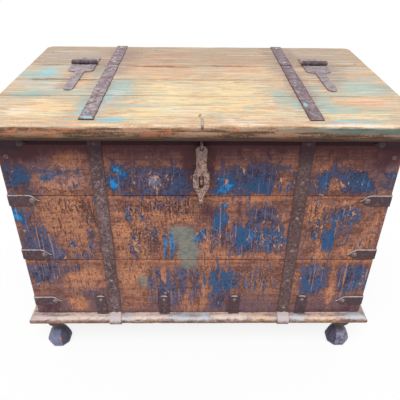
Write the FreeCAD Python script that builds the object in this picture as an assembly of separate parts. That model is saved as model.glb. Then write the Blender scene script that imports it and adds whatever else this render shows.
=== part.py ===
import FreeCAD, Part
import math
import os

# Storage chest: plank walls on a moulded base frame with turned feet, a fixed rear top board,
# a hinged lid, iron straps held by nails, and a hasp that drops over a wall staple.
# Millimetres, +Z up, the front faces -Y and +X is the viewer's right.
# The origin is on the floor, under the middle of the chest.

os.makedirs("parts", exist_ok=True)
Vector = FreeCAD.Vector

# Walls
body_width = 866.0
body_depth = 510.0
body_height = 530.6
wall_thickness = 24.0
top_plank_height = 156.0
middle_plank_height = 188.0
plank_seam = 0.8

# Top
top_thickness = 36.0
side_overhang = 17.0
front_overhang = 42.0
nose_depth = 13.0
back_overhang = 21.0
back_corner_radius = 22.0
rear_board_depth = 185.0
lid_rear_board_depth = 118.0
lid_middle_board_depth = 110.0
hinge_seam = 2.0
lid_rest_gap = 0.4
batten_width = 46.0
batten_thickness = 20.0
batten_inset = 57.0
batten_wall_gap = 8.0
batten_nail_shares = (0.25, 0.75)

# Base frame, feet and floor
rail_thickness = 27.4
rail_width = 75.0
rail_projection = 21.0
foot_height = 90.5
foot_offset_side = 40.0
foot_offset_front = 9.5
foot_offset_back = 16.0
foot_sole_radius = 25.0
foot_bulb_radius = 33.0
foot_bulb_height = 14.0
foot_shoulder_radius = 28.5
foot_shoulder_height = 33.0
foot_neck_radius = 12.5
foot_neck_height = 60.0
foot_flare_radius = 18.5
foot_flare_height = 74.0
foot_collar_radius = 26.0
foot_collar_height = 84.0
foot_tenon_radius = 11.0
foot_tenon_length = 18.0
tenon_clearance = 0.1
floor_thickness = 15.0
floor_seam = 1.0
floor_wall_gap = 1.0
floor_board_count = 3
floor_nail_shares = (0.4, 0.7)

# Iron straps, corner straps and clips
strap_thickness = 2.5
strap_width = 31.5
front_strap_inset = 208.0
strap_top_inset = 4.0
strap_rail_gap = 0.1
strap_hook = 14.0
top_strap_inset = 220.5
top_strap_front_inset = 19.0
top_strap_rear_gap = 3.0
top_strap_lid_gap = 3.0
corner_strap_height = 31.0
corner_strap_length = 71.0
corner_strap_tip = 26.0
corner_tip_bulge = (0.4, 0.78)
corner_tip_turn = (0.62, 0.36)
corner_tip_hollow = (0.78, 0.12)
corner_strap_top_inset = 10.0
corner_strap_bottom_inset = 30.6
corner_strap_seam_inset = 4.0
clip_width = 29.0
clip_height = 64.6
clip_arch = 6.0
clip_toe = 8.0
left_clip_inset = 173.0
right_clip_inset = 162.0
inner_clip_offsets = (-94.0, 92.0)

# Strap hinges
hinge_inset = 145.0
hinge_width = 65.0
hinge_leaf_thickness = 3.0
hinge_rear_leaf_depth = 57.0
hinge_plate_depth = 67.0
hinge_shoulder = 14.0
hinge_shoulder_bulge = (0.62, 0.7)
hinge_tail_width = 24.0
hinge_tail_length = 134.0
knuckle_radius = 6.5
knuckle_length = 21.0
knuckle_side_gap = 0.5
knuckle_notch_gap = 2.0
knuckle_top_gap = 0.3
hinge_pin_radius = 3.0
hinge_pin_clearance = 0.05
pin_head_radius = 4.5
pin_head_thickness = 1.5

# Hasp, its eye in the lid and the wall staple
hasp_standoff = 14.0
hasp_thickness = 4.0
hasp_hole_radius = 4.2
hasp_rim = 7.5
hasp_crown = (0.7, 0.6)
hasp_crown_end = 0.3
hasp_hang_gap = 0.6
hasp_top_width = 25.0
hasp_waist_width = 21.0
hasp_loop_width = 35.0
hasp_loop_bulge = 0.8
hasp_tip_width = 11.0
hasp_waist_drop = 40.0
hasp_slot_drop = 64.0
hasp_slot_length = 31.5
hasp_slot_width = 11.0
hasp_loop_drop = 93.0
hasp_neck_drop = 117.0
hasp_tip_drop = 122.0
hasp_curl_radius = 7.0
hasp_curl_turn = 105.0
eye_ring_radius = 9.0
eye_wire_radius = 2.5
eye_drop = 20.5
eye_bend = 4.0
eye_tail_angle = 40.0
eye_tail_length = 4.0
eye_recess_radius = 6.0
eye_recess_depth = 6.0
staple_wire_radius = 2.5
staple_height = 16.5
staple_reach = 31.0
staple_clinch = 14.0
staple_slot_gap = 1.0
staple_bend_share = 0.48
wire_hole_clearance = 0.1

# Nails
nail_shank_radius = 2.0
nail_hole_clearance = 0.05
nail_tip = 4.0
nail_point_radius = 0.4
strap_nail_head = 5.2
corner_nail_head = 7.0
plank_nail_head = 5.5
small_nail_head = 4.4
nail_dome = 0.45
strap_nail_length = 22.0
plank_nail_length = 60.0
strap_nail_count = 6
lid_strap_nail_count = 5
rear_strap_nail_count = 2
nail_edge_inset = 20.0
corner_nail_inset = 18.0
clip_nail_inset = 15.0
long_rail_nail_count = 4
side_rail_nail_count = 3
rear_board_nail_count = 4
plank_nail_shares = (0.15, 0.58, 0.68)
plank_nail_inset = 18.0

# Levels and faces that follow from the sizes above
rail_bottom = foot_height
rail_top = rail_bottom + rail_thickness
wall_top = rail_top + body_height
rear_board_top = wall_top + top_thickness
lid_bottom = wall_top + lid_rest_gap
lid_top = lid_bottom + top_thickness

chest_depth = front_overhang + nose_depth + body_depth + back_overhang
front_edge = -chest_depth / 2
flat_front = front_edge + nose_depth
wall_front = flat_front + front_overhang
wall_back = wall_front + body_depth
back_edge = wall_back + back_overhang
inner_front = wall_front + wall_thickness
inner_back = wall_back - wall_thickness
half_body = body_width / 2
half_inner = half_body - wall_thickness
top_width = body_width + 2 * side_overhang
half_top = top_width / 2

batten_x = half_inner - batten_inset
front_strap_x = half_body - front_strap_inset
top_strap_x = half_top - top_strap_inset
hinge_x = half_top - hinge_inset
clip_places = (left_clip_inset - half_body, *inner_clip_offsets, half_body - right_clip_inset)

seam_back = back_edge - rear_board_depth
seam_front = seam_back - hinge_seam
hinge_y = (seam_back + seam_front) / 2
hinge_z = lid_top + knuckle_top_gap + knuckle_radius
eye_y = wall_front - hasp_standoff
eye_z = wall_top - eye_drop
hasp_hole_z = eye_z - eye_ring_radius + eye_wire_radius + hasp_hang_gap - hasp_hole_radius

# The three rows of wall planks, from the top down: name, lower edge, upper edge
top_row_bottom = wall_top - top_plank_height
middle_row_top = top_row_bottom - plank_seam
middle_row_bottom = middle_row_top - middle_plank_height
bottom_row_top = middle_row_bottom - plank_seam
plank_rows = (
    ("top", top_row_bottom, wall_top),
    ("middle", middle_row_bottom, middle_row_top),
    ("bottom", rail_top, bottom_row_top),
)

# Middle heights of the four corner straps: near the wall's top, at both plank seams, near its foot
half_strap_height = corner_strap_height / 2
corner_strap_levels = (
    wall_top - corner_strap_top_inset - half_strap_height,
    middle_row_top + corner_strap_seam_inset - half_strap_height,
    middle_row_bottom + corner_strap_seam_inset + half_strap_height,
    rail_top + corner_strap_bottom_inset + half_strap_height,
)

left_right = (("left", -1), ("right", 1))


def box(x_low, x_high, y_low, y_high, z_low, z_high):
    return Part.makeBox(x_high - x_low, y_high - y_low, z_high - z_low, Vector(x_low, y_low, z_low))


def segment(start, end):
    return Part.LineSegment(start, end).toShape()


def arc(start, middle, end):
    return Part.Arc(start, middle, end).toShape()


def prism(edges, direction):
    return Part.Face(Part.Wire(edges)).extrude(direction)


def spread(low, high, count):
    # Even places from low to high, both ends included
    return [low + (high - low) * index / (count - 1) for index in range(count)]


def bent_wire(points, bend, radius):
    # A round wire through the points, with a tangent arc at each inner point
    edges = []
    start = points[0]
    for before, corner, after in zip(points, points[1:], points[2:]):
        into = (corner - before).normalize()
        out = (after - corner).normalize()
        half_turn = into.getAngle(out) / 2
        trim = bend * math.tan(half_turn)
        inward = (out - into).normalize()
        arc_start = corner - into * trim
        arc_end = corner + out * trim
        arc_middle = corner + inward * (bend / math.cos(half_turn) - bend)
        edges.append(segment(start, arc_start))
        edges.append(arc(arc_start, arc_middle, arc_end))
        start = arc_end
    edges.append(segment(start, points[-1]))
    section = Part.Wire(Part.Circle(points[0], points[1] - points[0], radius).toShape())
    return Part.Wire(edges).makePipeShell([section], True, True)


# Nails: each group is a node, and every piece that a shank passes through is bored for it
nails = {}


def drive_nail(group, point, outward, head_radius, length):
    nails.setdefault(group, []).append((Vector(*point), Vector(*outward), head_radius, length))


def nail_solid(point, outward, head_radius, length):
    # A pointed shank under a head that is a cap of a sphere
    dome = head_radius * nail_dome
    sphere = (head_radius ** 2 + dome ** 2) / (2 * dome)
    half_cap = math.asin(head_radius / sphere) / 2
    cap_middle = Vector(sphere * math.sin(half_cap), 0, dome - sphere + sphere * math.cos(half_cap))
    edges = [
        segment(Vector(0, 0, -length), Vector(nail_point_radius, 0, -length)),
        segment(Vector(nail_point_radius, 0, -length), Vector(nail_shank_radius, 0, nail_tip - length)),
        segment(Vector(nail_shank_radius, 0, nail_tip - length), Vector(nail_shank_radius, 0, 0)),
        segment(Vector(nail_shank_radius, 0, 0), Vector(head_radius, 0, 0)),
        arc(Vector(head_radius, 0, 0), cap_middle, Vector(0, 0, dome)),
        segment(Vector(0, 0, dome), Vector(0, 0, -length)),
    ]
    nail = Part.Face(Part.Wire(edges)).revolve(Vector(0, 0, 0), Vector(0, 0, 1), 360)
    nail.Placement = FreeCAD.Placement(point, FreeCAD.Rotation(Vector(0, 0, 1), outward))
    return nail


def nail_hole(point, outward, head_radius, length):
    return Part.makeCylinder(nail_shank_radius + nail_hole_clearance, length + nail_tip, point, -outward)


def bored(shape):
    # The shape with a hole for every nail shank that reaches into it
    holes = [nail_hole(*nail) for group in nails.values() for nail in group]
    reached = [hole for hole in holes if hole.BoundBox.intersect(shape.BoundBox)]
    if reached:
        return shape.cut(reached)
    return shape


def save(name, shape):
    shape.exportStep("parts/" + name + ".step")


pieces = {}


# Plank walls: the front and back planks cover the edges of the end planks
def add_walls():
    for row, low, high in plank_rows:
        pieces["front_plank_" + row] = box(-half_body, half_body, wall_front, inner_front, low, high)
        pieces["back_plank_" + row] = box(-half_body, half_body, inner_back, wall_back, low, high)
        pieces["left_end_plank_" + row] = box(-half_body, -half_inner, inner_front, inner_back, low, high)
        pieces["right_end_plank_" + row] = box(half_inner, half_body, inner_front, inner_back, low, high)
    nail_x = half_body - plank_nail_inset
    for above, below, share in zip(corner_strap_levels, corner_strap_levels[1:], plank_nail_shares):
        gap = above - below - corner_strap_height
        level = above - half_strap_height - gap * share
        for side in (-1, 1):
            drive_nail("plank_nails", (side * nail_x, wall_front, level), (0, -1, 0),
                       plank_nail_head, plank_nail_length)
            drive_nail("plank_nails", (side * nail_x, wall_back, level), (0, 1, 0),
                       plank_nail_head, plank_nail_length)


# Base frame: four mitred rails with a half-round outer edge, standing on the feet
rail_nose = rail_thickness / 2
rail_front = wall_front - rail_projection
rail_back = wall_back + rail_projection
rail_side = half_body + rail_projection
ledge_front = rail_front + rail_width
ledge_back = rail_back - rail_width
ledge_side = rail_side - rail_width


def rail_section(outer, inner, start, length, along_x):
    # The section has its round edge at outer, its square edge at inner
    toward = math.copysign(rail_nose, inner - outer)
    middle = (rail_bottom + rail_top) / 2

    def place(across, level):
        if along_x:
            return Vector(start, across, level)
        return Vector(across, start, level)

    edges = [
        segment(place(inner, rail_bottom), place(inner, rail_top)),
        segment(place(inner, rail_top), place(outer + toward, rail_top)),
        arc(place(outer + toward, rail_top), place(outer, middle), place(outer + toward, rail_bottom)),
        segment(place(outer + toward, rail_bottom), place(inner, rail_bottom)),
    ]
    run = Vector(length, 0, 0) if along_x else Vector(0, length, 0)
    return prism(edges, run)


def mitre_block(corners):
    points = [Vector(x, y, rail_bottom) for x, y in corners]
    edges = [segment(a, b) for a, b in zip(points, points[1:] + points[:1])]
    return prism(edges, Vector(0, 0, rail_thickness))


def add_base_rails():
    for name, edge, ledge in (("front", rail_front, ledge_front), ("back", rail_back, ledge_back)):
        rail = rail_section(edge, ledge, -rail_side, 2 * rail_side, True)
        corners = ((-rail_side, edge), (rail_side, edge), (ledge_side, ledge), (-ledge_side, ledge))
        pieces["base_rail_" + name] = rail.common(mitre_block(corners))
    for name, side in left_right:
        edge, ledge = side * rail_side, side * ledge_side
        rail = rail_section(edge, ledge, rail_front, rail_back - rail_front, False)
        corners = ((edge, rail_front), (edge, rail_back), (ledge, ledge_back), (ledge, ledge_front))
        pieces["base_rail_" + name] = rail.common(mitre_block(corners))
    for x in spread(-half_inner + rail_width, half_inner - rail_width, long_rail_nail_count):
        for y in (wall_front + wall_thickness / 2, wall_back - wall_thickness / 2):
            drive_nail("base_nails", (x, y, rail_bottom), (0, 0, -1), small_nail_head, plank_nail_length)
    nail_x = half_body - wall_thickness / 2
    for y in spread(ledge_front + wall_thickness, ledge_back - wall_thickness, side_rail_nail_count):
        for side in (-1, 1):
            drive_nail("base_nails", (side * nail_x, y, rail_bottom), (0, 0, -1),
                       small_nail_head, plank_nail_length)


def foot(x, y):
    # Turned foot: a bun, a neck, a flared collar, and a tenon that goes up into the rail
    tenon_top = foot_height + foot_tenon_length

    def at(radius, level):
        return Vector(radius, 0, level)

    side = Part.BSplineCurve()
    side.interpolate([
        at(foot_sole_radius, 0),
        at(foot_bulb_radius, foot_bulb_height),
        at(foot_shoulder_radius, foot_shoulder_height),
        at(foot_neck_radius, foot_neck_height),
        at(foot_flare_radius, foot_flare_height),
        at(foot_collar_radius, foot_collar_height),
    ])
    edges = [
        segment(at(0, 0), at(foot_sole_radius, 0)),
        side.toShape(),
        segment(at(foot_collar_radius, foot_collar_height), at(foot_collar_radius, foot_height)),
        segment(at(foot_collar_radius, foot_height), at(foot_tenon_radius, foot_height)),
        segment(at(foot_tenon_radius, foot_height), at(foot_tenon_radius, tenon_top)),
        segment(at(foot_tenon_radius, tenon_top), at(0, tenon_top)),
        segment(at(0, tenon_top), at(0, 0)),
    ]
    turned = Part.Face(Part.Wire(edges)).revolve(Vector(0, 0, 0), Vector(0, 0, 1), 360)
    turned.translate(Vector(x, y, 0))
    return turned


def add_feet():
    for end, y in (("front", wall_front + foot_offset_front), ("back", wall_back - foot_offset_back)):
        rail = "base_rail_" + end
        for name, side in left_right:
            x = side * (half_body - foot_offset_side)
            pieces["foot_" + end + "_" + name] = foot(x, y)
            mortise = Part.makeCylinder(foot_tenon_radius + tenon_clearance,
                                        foot_tenon_length + tenon_clearance, Vector(x, y, rail_bottom))
            pieces[rail] = pieces[rail].cut(mortise)


def add_floor():
    # Boards laid along the chest, their ends nailed to the inner ledge of the side rails
    low = inner_front + floor_wall_gap
    depth = inner_back - floor_wall_gap - low
    board = (depth - floor_seam * (floor_board_count - 1)) / floor_board_count
    half_length = half_inner - floor_wall_gap
    nail_x = (half_inner + ledge_side) / 2
    for index in range(floor_board_count):
        start = low + index * (board + floor_seam)
        pieces["floor_board_" + str(index + 1)] = box(
            -half_length, half_length, start, start + board, rail_top, rail_top + floor_thickness)
        for share in floor_nail_shares:
            for side in (-1, 1):
                drive_nail("base_nails", (side * nail_x, start + board * share, rail_top + floor_thickness),
                           (0, 0, 1), small_nail_head, floor_thickness + rail_thickness / 2)


# Top: the fixed rear board, and the lid's boards held together by two battens
def add_rear_top_board():
    r = back_corner_radius
    slope = r * (1 - math.cos(math.pi / 4))
    front, back = seam_back, back_edge
    z = wall_top
    edges = [
        segment(Vector(-half_top, front, z), Vector(half_top, front, z)),
        segment(Vector(half_top, front, z), Vector(half_top, back - r, z)),
        arc(Vector(half_top, back - r, z), Vector(half_top - slope, back - slope, z),
            Vector(half_top - r, back, z)),
        segment(Vector(half_top - r, back, z), Vector(r - half_top, back, z)),
        arc(Vector(r - half_top, back, z), Vector(slope - half_top, back - slope, z),
            Vector(-half_top, back - r, z)),
        segment(Vector(-half_top, back - r, z), Vector(-half_top, front, z)),
    ]
    pieces["rear_top_board"] = prism(edges, Vector(0, 0, top_thickness))
    nail_length = top_thickness + plank_nail_length / 2
    for x in spread(-half_inner + nail_edge_inset, half_inner - nail_edge_inset, rear_board_nail_count):
        drive_nail("rear_top_nails", (x, wall_back - wall_thickness / 2, rear_board_top), (0, 0, 1),
                   small_nail_head, nail_length)
    nail_x = half_body - wall_thickness / 2
    for side in (-1, 1):
        for y in (seam_back + nail_edge_inset, inner_back - nail_edge_inset):
            drive_nail("rear_top_nails", (side * nail_x, y, rear_board_top), (0, 0, 1),
                       small_nail_head, nail_length)


def add_lid():
    rear_low = seam_front - lid_rear_board_depth
    middle_high = rear_low - plank_seam
    middle_low = middle_high - lid_middle_board_depth
    front_high = middle_low - plank_seam
    pieces["lid_board_rear"] = box(-half_top, half_top, rear_low, seam_front, lid_bottom, lid_top)
    pieces["lid_board_middle"] = box(-half_top, half_top, middle_low, middle_high, lid_bottom, lid_top)
    edges = [
        segment(Vector(-half_top, front_high, lid_bottom), Vector(-half_top, front_high, lid_top)),
        segment(Vector(-half_top, front_high, lid_top), Vector(-half_top, flat_front, lid_top)),
        arc(
            Vector(-half_top, flat_front, lid_top),
            Vector(-half_top, front_edge, (lid_top + lid_bottom) / 2),
            Vector(-half_top, flat_front, lid_bottom),
        ),
        segment(Vector(-half_top, flat_front, lid_bottom), Vector(-half_top, front_high, lid_bottom)),
    ]
    front_board = prism(edges, Vector(top_width, 0, 0))
    eye_hole = Part.makeCylinder(eye_wire_radius + wire_hole_clearance, top_thickness,
                                 Vector(0, eye_y, lid_bottom))
    eye_recess = Part.makeCylinder(eye_recess_radius, eye_recess_depth,
                                   Vector(0, eye_y, lid_top - eye_recess_depth))
    pieces["lid_board_front"] = front_board.cut([eye_hole, eye_recess])

    batten_front = inner_front + batten_wall_gap
    batten_back = seam_front - batten_wall_gap
    batten_bottom = lid_bottom - batten_thickness
    for name, side in left_right:
        x = side * batten_x
        pieces["lid_batten_" + name] = box(
            x - batten_width / 2, x + batten_width / 2, batten_front, batten_back, batten_bottom, lid_bottom)
        for low, high in ((rear_low, batten_back), (middle_low, middle_high), (batten_front, front_high)):
            for share in batten_nail_shares:
                drive_nail("batten_nails", (x, low + (high - low) * share, batten_bottom), (0, 0, -1),
                           small_nail_head, batten_thickness + top_thickness / 2)


# Iron straps on the walls and on the top
def add_wall_straps():
    # The front straps go down the wall, out over the ledge of the base rail and round its nose
    t = strap_thickness
    gap = strap_rail_gap
    top = wall_top - strap_top_inset
    nose_y = rail_front + rail_nose
    nose_z = rail_top - rail_nose
    near = rail_nose + gap
    far = near + t
    bottom = nose_z - near
    hook_end = nose_y + strap_hook
    for name, side in left_right:
        x = side * front_strap_x - strap_width / 2
        edges = [
            segment(Vector(x, wall_front, top), Vector(x, wall_front, rail_top + gap)),
            segment(Vector(x, wall_front, rail_top + gap), Vector(x, nose_y, rail_top + gap)),
            arc(Vector(x, nose_y, nose_z + near), Vector(x, nose_y - near, nose_z),
                Vector(x, nose_y, bottom)),
            segment(Vector(x, nose_y, bottom), Vector(x, hook_end, bottom)),
            segment(Vector(x, hook_end, bottom), Vector(x, hook_end, bottom - t)),
            segment(Vector(x, hook_end, bottom - t), Vector(x, nose_y, bottom - t)),
            arc(Vector(x, nose_y, nose_z - far), Vector(x, nose_y - far, nose_z),
                Vector(x, nose_y, nose_z + far)),
            segment(Vector(x, nose_y, nose_z + far), Vector(x, wall_front - t, nose_z + far)),
            segment(Vector(x, wall_front - t, nose_z + far), Vector(x, wall_front - t, top)),
            segment(Vector(x, wall_front - t, top), Vector(x, wall_front, top)),
        ]
        pieces["front_strap_" + name] = prism(edges, Vector(strap_width, 0, 0))
        pieces["back_strap_" + name] = box(x, x + strap_width, wall_back, wall_back + t, rail_top + gap, top)
        low = rail_top + nail_edge_inset
        for level in spread(low, top - nail_edge_inset, strap_nail_count):
            drive_nail("wall_strap_nails", (side * front_strap_x, wall_front - t, level), (0, -1, 0),
                       strap_nail_head, strap_nail_length)
            drive_nail("wall_strap_nails", (side * front_strap_x, wall_back + t, level), (0, 1, 0),
                       strap_nail_head, strap_nail_length)


def add_top_straps():
    t = strap_thickness
    lid_rear = seam_front - top_strap_lid_gap
    lid_front = flat_front + top_strap_front_inset
    fixed_front = seam_back + top_strap_rear_gap
    for name, side in left_right:
        x = side * top_strap_x
        low, high = x - strap_width / 2, x + strap_width / 2
        pieces["lid_strap_" + name] = box(low, high, lid_front, lid_rear, lid_top, lid_top + t)
        pieces["rear_top_strap_" + name] = box(
            low, high, fixed_front, back_edge, rear_board_top, rear_board_top + t)
        for y in spread(lid_front + nail_edge_inset, lid_rear - nail_edge_inset, lid_strap_nail_count):
            drive_nail("lid_top_nails", (x, y, lid_top + t), (0, 0, 1), strap_nail_head, strap_nail_length)
        for y in spread(fixed_front + nail_edge_inset, back_edge - nail_edge_inset, rear_strap_nail_count):
            drive_nail("rear_top_nails", (x, y, rear_board_top + t), (0, 0, 1), strap_nail_head,
                       strap_nail_length)


def tipped_leaf(place, thickness):
    # Outline of a corner strap's leaf with an ogee point. place(along, up) gives a point in space.
    h = half_strap_height
    shoulder = corner_strap_length - corner_strap_tip
    point = place(corner_strap_length, 0)

    def on_tip(shares, side):
        return place(shoulder + corner_strap_tip * shares[0], side * h * shares[1])

    edges = [
        segment(place(-strap_thickness, -h), place(shoulder, -h)),
        arc(place(shoulder, -h), on_tip(corner_tip_bulge, -1), on_tip(corner_tip_turn, -1)),
        arc(on_tip(corner_tip_turn, -1), on_tip(corner_tip_hollow, -1), point),
        arc(point, on_tip(corner_tip_hollow, 1), on_tip(corner_tip_turn, 1)),
        arc(on_tip(corner_tip_turn, 1), on_tip(corner_tip_bulge, 1), place(shoulder, h)),
        segment(place(shoulder, h), place(-strap_thickness, h)),
        segment(place(-strap_thickness, h), place(-strap_thickness, -h)),
    ]
    return prism(edges, thickness)


def add_corner_straps():
    nail_along = corner_strap_length - corner_nail_inset
    for end, face_y, out_y in (("front", wall_front, -1), ("back", wall_back, 1)):
        for name, side in left_right:
            straps = []
            face_x = side * half_body
            for level in corner_strap_levels:
                wall_leaf = tipped_leaf(lambda along, up: Vector(face_x - side * along, face_y, level + up),
                                        Vector(0, out_y * strap_thickness, 0))
                end_leaf = tipped_leaf(lambda along, up: Vector(face_x, face_y - out_y * along, level + up),
                                       Vector(side * strap_thickness, 0, 0))
                straps.append(wall_leaf.fuse(end_leaf).removeSplitter())
                wall_nail = (face_x - side * nail_along, face_y + out_y * strap_thickness, level)
                end_nail = (face_x + side * strap_thickness, face_y - out_y * nail_along, level)
                for place, outward in ((wall_nail, (0, out_y, 0)), (end_nail, (side, 0, 0))):
                    drive_nail("corner_strap_nails", place, outward, corner_nail_head, strap_nail_length)
            pieces["corner_straps_" + end + "_" + name] = Part.Compound(straps)


def add_base_clips():
    t = strap_thickness
    clips = []
    half = clip_width / 2
    top = rail_top + clip_height
    for x in clip_places:
        edges = [
            segment(Vector(x - half, wall_front, rail_top), Vector(x + half, wall_front, rail_top)),
            segment(Vector(x + half, wall_front, rail_top), Vector(x + half, wall_front, top - clip_arch)),
            arc(Vector(x + half, wall_front, top - clip_arch), Vector(x, wall_front, top),
                Vector(x - half, wall_front, top - clip_arch)),
            segment(Vector(x - half, wall_front, top - clip_arch), Vector(x - half, wall_front, rail_top)),
        ]
        leaf = prism(edges, Vector(0, -t, 0))
        toe = box(x - half, x + half, wall_front - clip_toe, wall_front, rail_top, rail_top + t)
        clips.append(leaf.fuse(toe).removeSplitter())
        drive_nail("base_clip_nails", (x, wall_front - t, top - clip_nail_inset), (0, -1, 0), strap_nail_head,
                   strap_nail_length)
    pieces["base_clips_front"] = Part.Compound(clips)


# Strap hinges: the front leaf has the two outer knuckles, the rear leaf the middle one
def add_hinges():
    half = hinge_width / 2
    half_tail = hinge_tail_width / 2
    half_knuckle = knuckle_length / 2
    notch = knuckle_radius + knuckle_notch_gap
    t = hinge_leaf_thickness
    bore_radius = hinge_pin_radius + hinge_pin_clearance
    axis = Vector(1, 0, 0)
    for name, side in left_right:
        x = side * hinge_x
        pin_bore = Part.makeCylinder(bore_radius, hinge_width, Vector(x - half, hinge_y, hinge_z), axis)
        middle_low = x - half_knuckle
        middle_high = x + half_knuckle
        outer_low = middle_low - knuckle_side_gap
        outer_high = middle_high + knuckle_side_gap

        rear_plate = box(x - half, x + half, hinge_y + notch, hinge_y + hinge_rear_leaf_depth,
                         rear_board_top, rear_board_top + t)
        rear_tongue = box(middle_low, middle_high, hinge_y, hinge_y + notch,
                          rear_board_top, rear_board_top + t)
        rear_knuckle = Part.makeCylinder(knuckle_radius, knuckle_length,
                                         Vector(middle_low, hinge_y, hinge_z), axis)
        rear_leaf = rear_plate.fuse([rear_tongue, rear_knuckle]).removeSplitter()
        pieces["hinge_rear_leaf_" + name] = rear_leaf.cut(pin_bore)

        plate_front = hinge_y - hinge_plate_depth
        tail_front = plate_front - hinge_tail_length
        shoulder = plate_front + hinge_shoulder
        bulge_x = half_tail + (half - half_tail) * hinge_shoulder_bulge[0]
        bulge_y = shoulder - hinge_shoulder * hinge_shoulder_bulge[1]

        def at(dx, y):
            return Vector(x + dx, y, lid_top)

        edges = [
            segment(at(-half, hinge_y - notch), at(half, hinge_y - notch)),
            segment(at(half, hinge_y - notch), at(half, shoulder)),
            arc(at(half, shoulder), at(bulge_x, bulge_y), at(half_tail, plate_front)),
            segment(at(half_tail, plate_front), at(half_tail, tail_front + half_tail)),
            arc(at(half_tail, tail_front + half_tail), at(0, tail_front),
                at(-half_tail, tail_front + half_tail)),
            segment(at(-half_tail, tail_front + half_tail), at(-half_tail, plate_front)),
            arc(at(-half_tail, plate_front), at(-bulge_x, bulge_y), at(-half, shoulder)),
            segment(at(-half, shoulder), at(-half, hinge_y - notch)),
        ]
        front_leaf = prism(edges, Vector(0, 0, t))
        for low, high in ((x - half, outer_low), (outer_high, x + half)):
            tongue = box(low, high, hinge_y - notch, hinge_y, lid_top, lid_top + t)
            knuckle = Part.makeCylinder(knuckle_radius, high - low, Vector(low, hinge_y, hinge_z), axis)
            front_leaf = front_leaf.fuse([tongue, knuckle])
        pieces["hinge_front_leaf_" + name] = front_leaf.removeSplitter().cut(pin_bore)

        head_gap = knuckle_side_gap
        pin_half = half + head_gap + pin_head_thickness
        pin = Part.makeCylinder(hinge_pin_radius, 2 * pin_half, Vector(x - pin_half, hinge_y, hinge_z), axis)
        heads = [
            Part.makeCylinder(pin_head_radius, pin_head_thickness, Vector(start, hinge_y, hinge_z), axis)
            for start in (x - pin_half, x + half + head_gap)
        ]
        pieces["hinge_pin_" + name] = pin.fuse(heads).removeSplitter()

        rear_nail_y = hinge_y + hinge_rear_leaf_depth - nail_edge_inset / 2
        plate_nail_y = shoulder + nail_edge_inset / 2
        for dx in (half_knuckle - half, half - half_knuckle):
            drive_nail("rear_top_nails", (x + dx, rear_nail_y, rear_board_top + t), (0, 0, 1),
                       small_nail_head, strap_nail_length)
            drive_nail("lid_top_nails", (x + dx, plate_nail_y, lid_top + t), (0, 0, 1),
                       small_nail_head, strap_nail_length)
        for y in (plate_front - nail_edge_inset, tail_front + nail_edge_inset):
            drive_nail("lid_top_nails", (x, y, lid_top + t), (0, 0, 1), small_nail_head, strap_nail_length)


# Hasp: a plate with a hole for the eye, a slotted loop and a tip curled outward
def add_hasp():
    half = hasp_thickness / 2
    back = eye_y + half

    def at(x, drop):
        return Vector(x, back, hasp_hole_z - drop)

    top_half = hasp_top_width / 2
    waist = hasp_waist_width / 2
    loop = hasp_loop_width / 2
    tip = hasp_tip_width / 2
    slot_end = hasp_slot_drop + hasp_slot_length
    bulge = (hasp_slot_drop + hasp_loop_drop) / 2
    crown = at(top_half * hasp_crown[0], -hasp_rim * hasp_crown[1])
    crown_end = hasp_rim * hasp_crown_end
    right_side = [
        arc(at(0, -hasp_rim), crown, at(top_half, crown_end)),
        segment(at(top_half, crown_end), at(waist, hasp_waist_drop)),
        segment(at(waist, hasp_waist_drop), at(loop, hasp_slot_drop)),
        arc(at(loop, hasp_slot_drop), at(loop + hasp_loop_bulge, bulge), at(loop, hasp_loop_drop)),
        segment(at(loop, hasp_loop_drop), at(tip, hasp_neck_drop)),
        segment(at(tip, hasp_neck_drop), at(tip, hasp_tip_drop)),
    ]
    outline = Part.Wire(right_side)
    mirrored = outline.mirror(Vector(0, 0, 0), Vector(1, 0, 0))
    foot_line = segment(at(tip, hasp_tip_drop), at(-tip, hasp_tip_drop))
    plate = prism(outline.Edges + [foot_line] + mirrored.Edges[::-1], Vector(0, -hasp_thickness, 0))

    slot_half = hasp_slot_width / 2
    slot_top = hasp_slot_drop + slot_half
    slot_low = slot_end - slot_half
    slot_edges = [
        segment(at(-slot_half, slot_low), at(-slot_half, slot_top)),
        arc(at(-slot_half, slot_top), at(0, hasp_slot_drop), at(slot_half, slot_top)),
        segment(at(slot_half, slot_top), at(slot_half, slot_low)),
        arc(at(slot_half, slot_low), at(0, slot_end), at(-slot_half, slot_low)),
    ]
    slot = prism(slot_edges, Vector(0, -hasp_thickness, 0))
    hole = Part.makeCylinder(hasp_hole_radius, hasp_thickness, Vector(0, back, hasp_hole_z), Vector(0, -1, 0))

    curl_center = Vector(0, eye_y - hasp_curl_radius, hasp_hole_z - hasp_tip_drop)
    end_face = Part.Face(Part.Wire([
        segment(at(-tip, hasp_tip_drop), at(tip, hasp_tip_drop)),
        segment(at(tip, hasp_tip_drop), at(tip, hasp_tip_drop) - Vector(0, hasp_thickness, 0)),
        segment(at(tip, hasp_tip_drop) - Vector(0, hasp_thickness, 0),
                at(-tip, hasp_tip_drop) - Vector(0, hasp_thickness, 0)),
        segment(at(-tip, hasp_tip_drop) - Vector(0, hasp_thickness, 0), at(-tip, hasp_tip_drop)),
    ]))
    curl = end_face.revolve(curl_center, Vector(-1, 0, 0), hasp_curl_turn)
    pieces["hasp"] = plate.cut([slot, hole]).fuse(curl).removeSplitter()


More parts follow.
